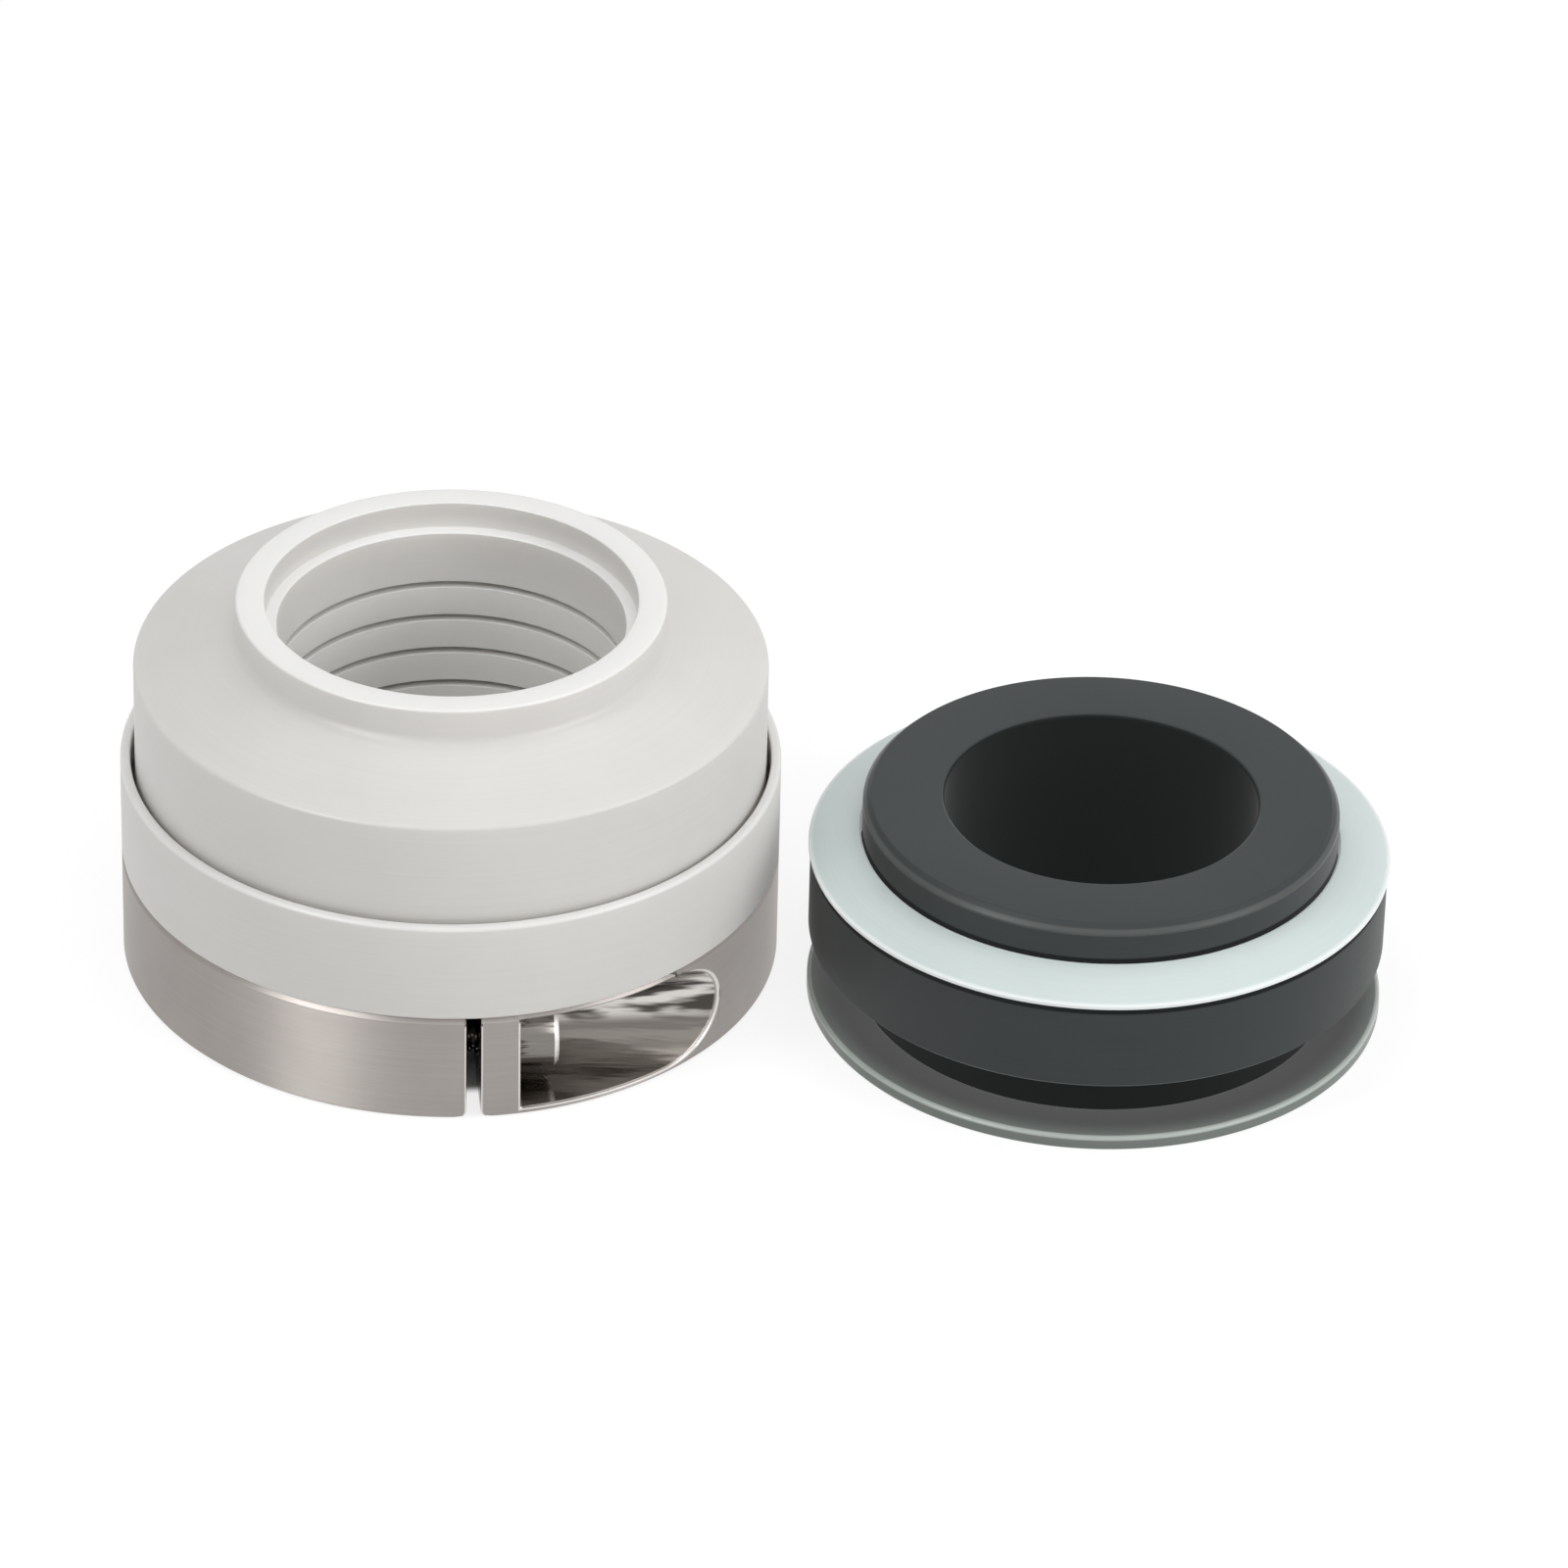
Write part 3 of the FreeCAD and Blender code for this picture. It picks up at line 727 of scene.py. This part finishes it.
right_flare = circle_outline((FLARE_HALF, FLARE_LEVEL), FLARE_RADIUS, 180, 270, 8)
left_flare = [(-x, z) for x, z in reversed(right_flare)]
slot_outline = [
    (SLOT_HALF, ABOVE), *right_flare, (FLARE_HALF, BELOW),
    (-FLARE_HALF, BELOW), *left_flare, (-SLOT_HALF, ABOVE),
]
screw_middle = (-SCREW_OFFSET, SCREW_LEVEL)
pocket_outline = circle_outline(screw_middle, POCKET, -90, 90, 48)
pocket_outline += [(-FURTHER_OUT, SCREW_LEVEL + POCKET), (-FURTHER_OUT, SCREW_LEVEL - POCKET)]
milling = [
    extruded_mesh("slot", slot_outline, "y", -OUTSIDE, 0),
    extruded_mesh("pocket", pocket_outline, "x", POCKET_START, OUTSIDE),
    extruded_mesh("loose_hole", circle_outline(screw_middle, LOOSE_HOLE), "x", 0, POCKET_START + PAST_LAND),
    extruded_mesh("tapped_hole", circle_outline(screw_middle, TAPPED_HOLE), "x", TAPPED_END, PAST_SLOT),
]
for cutter in milling:
    cutter.transform(Matrix.Rotation(SLOT_TURN, 4, "Z"))
print("cutters:", [cutter.name for cutter in milling])

# %% Turn and mill the clamp ring
CLAMP, CLAMP_HEIGHT, CLAMP_BORE, TAIL_GRIP, LIP_HEIGHT = 32.8, 11.5, 15.4, 18.25, 4.0
FOOT_CHAMFER, TOP_CHAMFER = 0.35, 0.45
RING_PIN_FLOOR, BROKEN_EDGE = 9.2, 0.18

clamp_outline = [
    (CLAMP_BORE, 0, 0), (CLAMP - FOOT_CHAMFER, 0, 0), (CLAMP, FOOT_CHAMFER, 0),
    (CLAMP, CLAMP_HEIGHT - TOP_CHAMFER, 0), (CLAMP - TOP_CHAMFER, CLAMP_HEIGHT, 0),
    (TAIL_GRIP, CLAMP_HEIGHT, 0), (TAIL_GRIP, LIP_HEIGHT, 0), (CLAMP_BORE, LIP_HEIGHT, 0),
]
clamp_blank = turned_mesh("clamp_ring", clamp_outline)
# The bevel's faces get the edge steel, whose light colour is a painted highlight.
for steel in (stainless, painted_edge_steel):
    clamp_blank.materials.append(steel)
ring_mesh = cut_mesh(clamp_blank, milling + pin_hole_cutters(RING_PIN_FLOOR), BROKEN_EDGE, edge_material=1)
piece(
    "clamp_ring_turned", ring_mesh, "clamped_base", "stainless_ring", ["clamp_ring"], stainless, painted_edge_steel)

# %% [markdown]
# ## The clamp screw
#
# A socket head screw lies across the slot. It could be laid down from the start, but its head
# and shank are turned about their own axis, so the mesh is spun upright like the rest and laid
# down afterwards. The thread is a ridge that climbs as it goes round, which is a simple rule:
# each point's radius depends on its height and its turn.

# %% Thread a rod
def threaded_mesh(name, radius, depth, length, pitch, steps=48, per_turn=8):
    """An upright threaded rod below z = 0, closed at both ends, in metres."""
    mesh = bpy.data.meshes.new(name)
    levels = round(length / pitch * per_turn)
    corners, faces = [], []
    for level in range(levels + 1):
        z = -length * level / levels
        fade = min(1, level / per_turn, (levels - level) / per_turn)
        for step in range(steps):
            phase = (z / pitch - step / steps) % 1
            r = radius - depth * fade * abs(2 * phase - 1)
            turn = 2 * math.pi * step / steps
            corners.append((r * math.cos(turn) * MM, r * math.sin(turn) * MM, z * MM))
    for level in range(levels):
        for step in range(steps):
            a, b = level * steps + step, level * steps + (step + 1) % steps
            faces.append((a, b, b + steps, a + steps))
    faces += [list(range(steps)), list(range(levels * steps, (levels + 1) * steps))]
    mesh.from_pydata(corners, [], faces)
    finish_mesh(mesh)
    return mesh


SHANK, THREAD_DEPTH, SHANK_LENGTH, THREAD_PITCH = 1.95, 0.3, 14.0, 0.7
shank_mesh = threaded_mesh("shank", SHANK, THREAD_DEPTH, SHANK_LENGTH, THREAD_PITCH)
print("turns of thread:", round(SHANK_LENGTH / THREAD_PITCH))

# %% Turn the screw's head and lay the screw down
SCREW_HEAD, HEAD_HEIGHT, HEAD_CHAMFER = 3.5, 4.0, 0.4
KEY_SIZE, SOCKET_FLOOR, SOCKET_EDGE = 3.0, 2.0, 0.06

head_mesh = turned_mesh("screw_head", [
    (0, 0, 0), (SCREW_HEAD, 0, 0.15), (SCREW_HEAD, HEAD_HEIGHT - HEAD_CHAMFER, 0.15),
    (SCREW_HEAD - HEAD_CHAMFER, HEAD_HEIGHT, 0.1), (0, HEAD_HEIGHT, 0)])
hexagon = circle_outline((0, 0), KEY_SIZE / 2 / math.cos(math.pi / 6), steps=6)
socket_cutter = extruded_mesh("socket", hexagon, "z", SOCKET_FLOOR, HEAD_HEIGHT + 1)
head_mesh = cut_mesh(head_mesh, [socket_cutter], SOCKET_EDGE)
joined = bmesh.new()
joined.from_mesh(head_mesh)
joined.from_mesh(shank_mesh)
screw_mesh = bpy.data.meshes.new("clamp_screw")
joined.to_mesh(screw_mesh)
joined.free()
screw_mesh.set_sharp_from_angle(angle=math.radians(SHARP_FROM))
seat_on_land = Matrix.Translation(Vector((POCKET_START, -SCREW_OFFSET, SCREW_LEVEL)) * MM)
lay_down = Matrix.Rotation(math.pi / 2, 4, "Y")
screw_mesh.transform(Matrix.Rotation(SLOT_TURN, 4, "Z") @ seat_on_land @ lay_down)
piece(
    "clamp_screw_turned", screw_mesh, "tightening_screw", "screw_steel", ["clamp_screw"], screw_steel)

# %% [markdown]
# ## The cover, the seat and the gaskets
#
# These are plain turned rings, so there is no better way than the outline. What makes them look
# right is in their edges: the cover's rim is rounded like a lip and gets a painted highlight, the
# seat's collar has a soft chamfer with a painted light line, and the upper gasket slopes down to a
# thin edge with a painted bright rim. The steel ring beside them doesn't mirror the seat and its
# gaskets, because the photograph shows each half as it looks by itself.

# %% Turn the cover
COVER_TOP, COVER_INSIDE, COVER_FLOOR, TAIL_HOLE = 22.1, 31.8, 12.7, 18.35
COVER_FOOT_CHAMFER, COVER_PIN_FLOOR = 0.3, 11

cover_outline = [
    (TAIL_HOLE, CLAMP_HEIGHT, 0.1), (CLAMP - COVER_FOOT_CHAMFER, CLAMP_HEIGHT, 0.1),
    (CLAMP, CLAMP_HEIGHT + COVER_FOOT_CHAMFER, 0.1), (CLAMP, COVER_TOP, 0.35),
    (COVER_INSIDE, COVER_TOP, 0.2), (COVER_INSIDE, COVER_FLOOR, 0.3), (TAIL_HOLE, COVER_FLOOR, 0.1),
]
cover_mesh = cut_mesh(turned_mesh("spring_cover", cover_outline), pin_hole_cutters(COVER_PIN_FLOOR))
piece("spring_cover_turned", cover_mesh, "clamped_base", "white_ptfe", ["spring_cover"], ptfe)

# %% Turn the seat
SEAT_BORE, NECK, COLLAR, FLANGE = 15.5, 23.5, 23.55, 28.6
FLANGE_UNDER, FLANGE_TOP, SEAT_TOP = 7.3, 16.4, 22.5
EDGE_CHAMFER, COLLAR_CHAMFER, BORE_CHAMFER = 0.25, 0.8, 0.3

seat_outline = [
    (SEAT_BORE + BORE_CHAMFER, 0, 0.1), (NECK - EDGE_CHAMFER, 0, 0.1), (NECK, EDGE_CHAMFER, 0.1),
    (NECK, FLANGE_UNDER, 0.3), (FLANGE - EDGE_CHAMFER, FLANGE_UNDER, 0.1),
    (FLANGE, FLANGE_UNDER + EDGE_CHAMFER, 0.1), (FLANGE, FLANGE_TOP - EDGE_CHAMFER, 0.1),
    (FLANGE - EDGE_CHAMFER, FLANGE_TOP, 0.1), (COLLAR, FLANGE_TOP, 0.1),
    (COLLAR, SEAT_TOP - COLLAR_CHAMFER, 0.3), (COLLAR - COLLAR_CHAMFER, SEAT_TOP, 0.3),
    (SEAT_BORE + BORE_CHAMFER, SEAT_TOP, 0.12), (SEAT_BORE, SEAT_TOP - BORE_CHAMFER, 0.12),
    (SEAT_BORE, BORE_CHAMFER, 0.1),
]
seat = piece(
    "seat_ring_ground", turned_mesh("seat_ring", seat_outline, SEAT_CENTRE), "clamped_base",
    "silicon_carbide", ["seat_ring"], carbide)

# %% Turn its two gaskets
UPPER_HOLE, UPPER_RIM, UPPER_EDGE_TOP, UPPER_TOP = 23.65, 28.8, 16.8, 18.55
LOWER_HOLE, LOWER_RIM, LOWER_TOP = 23.6, 28.6, 1.4

upper_outline = [
    (UPPER_HOLE, FLANGE_TOP, 0.05), (UPPER_RIM, FLANGE_TOP, 0.12),
    (UPPER_RIM, UPPER_EDGE_TOP, 0.12), (UPPER_HOLE, UPPER_TOP, 0.2),
]
lower_outline = [
    (LOWER_HOLE, 0, 0.05), (LOWER_RIM, 0, 0.15), (LOWER_RIM, LOWER_TOP, 0.3), (LOWER_HOLE, LOWER_TOP, 0.15),
]
upper_gasket = piece(
    "upper_gasket_turned", turned_mesh("upper_gasket", upper_outline, SEAT_CENTRE), "clamped_base",
    "gasket_ptfe", ["upper_gasket"], upper_ptfe)
lower_gasket = piece(
    "lower_gasket_turned", turned_mesh("lower_gasket", lower_outline, SEAT_CENTRE), "clamped_base",
    "gasket_ptfe", ["lower_gasket"], lower_ptfe)
for part in (seat, upper_gasket, lower_gasket):
    part.visible_glossy = False
print("not mirrored in the steel:", seat.name, upper_gasket.name, lower_gasket.name)

# %% [markdown]
# ## The springs
#
# Nine equal springs stand at nine of twelve stations on a circle, and drive pins stand at the other
# three. They could be modelled once and copied by hand, but it is a rule with few numbers, which
# suits Geometry Nodes: one wire is bent into a coil with closed ends and copied to the stations.
# The copies are made real at the end and kept as a plain mesh.

# %% Name the tree's sizes
SPRING_SIZES = {
    "Stations": 12, "Stations per Pin": 4, "First Angle": PIN_ANGLES[0],
    "Circle Radius": STATION_RADIUS * MM, "Foot": 14.2 * MM, "Free Length": 15.8 * MM,
    "Mean Radius": 2.0 * MM, "Wire Radius": 0.3 * MM, "Turns": 8.0,
}
coils = bpy.data.node_groups.new("springs_on_a_circle", "GeometryNodeTree")
coils.interface.new_socket("Geometry", in_out="INPUT", socket_type="NodeSocketGeometry")
for size_name, value in SPRING_SIZES.items():
    kind = "NodeSocketInt" if isinstance(value, int) else "NodeSocketFloat"
    coils.interface.new_socket(size_name, in_out="INPUT", socket_type=kind)
coils.interface.new_socket("Geometry", in_out="OUTPUT", socket_type="NodeSocketGeometry")
sizes = coils.nodes.new("NodeGroupInput").outputs
print("inputs:", list(SPRING_SIZES))

# %% Place the stations
def on_circle(tree, turn, radius, level):
    """A vector socket at that turn, radius and level."""
    x = math_node(tree, "MULTIPLY", math_node(tree, "COSINE", turn), radius)
    y = math_node(tree, "MULTIPLY", math_node(tree, "SINE", turn), radius)
    return combine(tree, x, y, level)


index = add(coils, "GeometryNodeInputIndex")
step = math_node(coils, "DIVIDE", 2 * math.pi, sizes["Stations"])
station_turn = math_node(coils, "ADD", math_node(coils, "MULTIPLY", index, step), sizes["First Angle"])
station_place = on_circle(coils, station_turn, sizes["Circle Radius"], sizes["Foot"])
stations = add(coils, "GeometryNodePoints", {"Count": sizes["Stations"], "Position": station_place})
holds_pin = math_node(coils, "COMPARE", math_node(coils, "MODULO", index, sizes["Stations per Pin"]), 0)
without_pins = add(coils, "GeometryNodeDeleteGeometry", {"Geometry": stations, "Selection": holds_pin})
print("stations:", SPRING_SIZES["Stations"], "every", SPRING_SIZES["Stations per Pin"], "holds a pin")

# %% [markdown]
# ### The wire's climb
#
# A compression spring ends in a closed turn at each side, so that it stands flat. Its wire climbs
# by its own thickness in the first turn and in the last, and by all the rest of the free length
# in the turns between. A curve drawn by hand would fix those numbers. Here they are sums of the
# tree's inputs, so a longer or thicker spring needs no new drawing.

# %% Work out the wire's level
along = coils.nodes.new("GeometryNodeSplineParameter").outputs["Factor"]
turns_done = math_node(coils, "MULTIPLY", along, sizes["Turns"])
thickness = math_node(coils, "MULTIPLY", sizes["Wire Radius"], 2)
rise = math_node(coils, "SUBTRACT", sizes["Free Length"], math_node(coils, "MULTIPLY", thickness, 3))
first_turn = math_node(coils, "MINIMUM", turns_done, 1)
open_turns = math_node(coils, "SUBTRACT", sizes["Turns"], 2)
past_first = math_node(coils, "DIVIDE", math_node(coils, "SUBTRACT", turns_done, 1), open_turns)
middle = math_node(coils, "MINIMUM", math_node(coils, "MAXIMUM", past_first, 0), 1)
to_last = math_node(coils, "SUBTRACT", turns_done, math_node(coils, "SUBTRACT", sizes["Turns"], 1))
last_turn = math_node(coils, "MAXIMUM", to_last, 0)
closed = math_node(coils, "MULTIPLY", math_node(coils, "ADD", first_turn, last_turn), thickness)
climbed = math_node(coils, "ADD", closed, math_node(coils, "MULTIPLY", middle, rise))
wire_level = math_node(coils, "ADD", climbed, sizes["Wire Radius"])
print("open turns of each spring:", SPRING_SIZES["Turns"] - 2)

# %% Bend and thicken the wire
WIRE_POINTS, WIRE_SIDES = 193, 10

wire_turn = math_node(coils, "MULTIPLY", turns_done, 2 * math.pi)
wire_place = on_circle(coils, wire_turn, sizes["Mean Radius"], wire_level)
line = add(coils, "GeometryNodeCurvePrimitiveLine")
divided = add(coils, "GeometryNodeResampleCurve", {"Curve": line, "Count": WIRE_POINTS})
bent = add(coils, "GeometryNodeSetPosition", {"Geometry": divided, "Position": wire_place})
circle = {"Resolution": WIRE_SIDES, "Radius": sizes["Wire Radius"]}
section = add(coils, "GeometryNodeCurvePrimitiveCircle", circle)
wire = {"Curve": bent, "Profile Curve": section, "Fill Caps": True}
coil = add(coils, "GeometryNodeCurveToMesh", wire)
print("points along a wire:", WIRE_POINTS, "sides:", WIRE_SIDES)

# %% Copy the coil to the stations
copies = add(coils, "GeometryNodeInstanceOnPoints", {"Points": without_pins, "Instance": coil})
real = add(coils, "GeometryNodeRealizeInstances", {0: copies})
finished = add(coils, "GeometryNodeSetMaterial", {"Geometry": real, "Material": spring_steel})
give(coils, coils.nodes.new("NodeGroupOutput").inputs[0], finished)
print("tree:", coils.name, "nodes:", len(coils.nodes))

# %% Keep the springs as a plain mesh
WIRE_SHARP_FROM = 60

holder = bpy.data.objects.new("spring_maker", bpy.data.meshes.new("spring_maker"))
bpy.context.scene.collection.objects.link(holder)
maker = holder.modifiers.new("coils", "NODES")
maker.node_group = coils
for item in coils.interface.items_tree:
    if item.item_type == "SOCKET" and item.in_out == "INPUT" and item.name in SPRING_SIZES:
        maker[item.identifier] = SPRING_SIZES[item.name]
spring_mesh = bpy.data.meshes.new_from_object(holder.evaluated_get(bpy.context.evaluated_depsgraph_get()))
bpy.data.objects.remove(holder)
finish_mesh(spring_mesh, WIRE_SHARP_FROM)
springs = piece(
    "springs", spring_mesh, None, "spring_steel", [f"spring_{i}" for i in range(1, 10)], spring_steel)
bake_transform(springs)

# %% [markdown]
# ## Pieces that stay as they are
#
# The two spring seats and the drive pins are hidden inside. They could be turned again, but their
# solids are already right, so they only get a finish.

# %% Finish the hidden steel
for name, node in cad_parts.items():
    if node.hide_render:
        continue
    node.data.materials.clear()
    node.data.materials.append(screw_steel if name.startswith("drive_pin") else stainless)
    print("finished:", name)

# %% [markdown]
# ## The floor
#
# The photograph has a pure white ground with hardly a shadow. A white floor alone turns grey
# wherever less light reaches it, and stronger lamps would wash out the object. So what the camera
# sees of the floor, directly, in steel or through glass, is mostly an even white glow, with a
# share of shaded paper that keeps the soft shadow. The glow fades out under the clamp ring, where
# it would shine up the slot, and it is whole far away, so that no horizon shows. All other light
# meets a plain pale floor.

# %% Tell the camera's rays from the others
def seen_or_mirrored(tree):
    """A socket that is 1 for rays from the camera, from a mirror and through glass, else 0."""
    path = tree.nodes.new("ShaderNodeLightPath")
    seen = math_node(tree, "MAXIMUM", path.outputs["Is Camera Ray"], path.outputs["Is Glossy Ray"])
    return math_node(tree, "MAXIMUM", seen, path.outputs["Is Transmission Ray"])


def blended_shader(tree, factor, first, second):
    """A Mix Shader's result."""
    return add(tree, "ShaderNodeMixShader", {0: factor, 1: first, 2: second})


print("helpers: seen_or_mirrored, blended_shader")

# %% Lay the floor
FLOOR_SIZE = 3.0
FLOOR_PLACE = (0.03, 0, -0.00002)

edge = FLOOR_SIZE / 2
floor_corners = [(-edge, -edge, 0), (edge, -edge, 0), (edge, edge, 0), (-edge, edge, 0)]
floor_mesh = bpy.data.meshes.new("floor")
floor_mesh.from_pydata(floor_corners, [], [(0, 1, 2, 3)])
floor = bpy.data.objects.new("floor", floor_mesh)
floor.location = FLOOR_PLACE
bpy.context.scene.collection.objects.link(floor)
print("floor side in metres:", FLOOR_SIZE)

# %% Whiten the floor
PLAIN_FLOOR, FLOOR_ROUGHNESS = 0.8, 0.9
PAPER_WHITE = 1.4
GLOW_SHARE = 0.8
GLOW_STARTS, GLOW_WHOLE = (27.0, 28.6), (110, 320)

floor_material = bpy.data.materials.new("white_floor")
floor_material.use_nodes = True
tree = floor_material.node_tree
shader = tree.nodes["Principled BSDF"]
shader.inputs["Base Color"].default_value = (PLAIN_FLOOR, PLAIN_FLOOR, PLAIN_FLOOR, 1)
shader.inputs["Roughness"].default_value = FLOOR_ROUGHNESS
shader.inputs["Specular IOR Level"].default_value = 0.0
shaded = add(tree, "ShaderNodeBsdfDiffuse", {"Color": (PAPER_WHITE, PAPER_WHITE, PAPER_WHITE, 1)})
glow = add(tree, "ShaderNodeEmission", {"Strength": 1})
distance = tree.nodes.new("ShaderNodeGroup")
distance.node_tree = marks
distance.inputs["Centre"].default_value = (-FLOOR_PLACE[0], -FLOOR_PLACE[1], 0)
clear_of_ring = ramp(tree, distance.outputs["Radius"], *GLOW_STARTS)
share = between(tree, "FLOAT", ramp(tree, distance.outputs["Radius"], *GLOW_WHOLE), GLOW_SHARE, 1.0)
paper = blended_shader(tree, overlap(tree, clear_of_ring, share), shaded, glow)
choice = blended_shader(tree, seen_or_mirrored(tree), shader.outputs[0], paper)
give(tree, tree.nodes["Material Output"].inputs["Surface"], choice)
floor_mesh.materials.append(floor_material)
print("glow share near the pair:", GLOW_SHARE)

# %% [markdown]
# ## World and lights
#
# The light in the photograph is soft and comes from above, a little stronger from the right. An
# image of a studio could give it, but plain sources are easier to steer. An even world fills all
# shadows, and the camera and the steel see it as white. A big box overhead shades from top to
# side, a long one in front lights the near walls, one at the right gives the dark seat its
# brighter side, and a narrow one at the left keeps the white half's left wall light. A card at
# the left is only seen in reflections: it draws a bright band on the clamp ring.

# %% Even light from the world
EVEN_LIGHT = 0.37

world = bpy.data.worlds.new("soft_studio")
bpy.context.scene.world = world
world.use_nodes = True
tree = world.node_tree
even = tree.nodes["Background"]
even.inputs["Color"].default_value = (1, 1, 1, 1)
even.inputs["Strength"].default_value = EVEN_LIGHT
white = add(tree, "ShaderNodeBackground", {"Color": (1, 1, 1, 1), "Strength": 1})
choice = blended_shader(tree, seen_or_mirrored(tree), even.outputs[0], white)
give(tree, tree.nodes["World Output"].inputs["Surface"], choice)
print("even light:", EVEN_LIGHT)

# %% Soft boxes
PAIR, ROTATING_HALF = (0.03, 0, 0.02), (0, 0, 0.02)


def area_light(name, place, width, height, brightness, aim=PAIR, only_mirrored=False):
    """A soft box at a place in metres, turned towards its aim. White paper has brightness 1."""
    data = bpy.data.lights.new(name, "AREA")
    data.shape = "RECTANGLE"
    data.size = width
    data.size_y = height
    data.energy = brightness * math.pi * width * height
    lamp = bpy.data.objects.new(name, data)
    lamp.location = place
    lamp.rotation_euler = (Vector(aim) - Vector(place)).to_track_quat("-Z", "Y").to_euler()
    lamp.visible_diffuse = not only_mirrored
    bpy.context.scene.collection.objects.link(lamp)
    print("light:", name, "watts:", round(data.energy, 2))


area_light("overhead_box", (0.1, 0.05, 0.9), width=0.8, height=0.8, brightness=1.15)
area_light("front_box", (0.03, -0.62, 0.7), width=1.2, height=0.4, brightness=0.5)
area_light("right_box", (0.66, -0.36, 0.34), width=0.4, height=0.4, brightness=4.6)
area_light("left_fill", (-0.4, -0.24, 0.42), width=0.13, height=0.5, brightness=3.3, aim=ROTATING_HALF)
area_light("left_card", (-0.34, -0.38, 0.28), width=0.26, height=0.5, brightness=4.0, aim=ROTATING_HALF,
           only_mirrored=True)
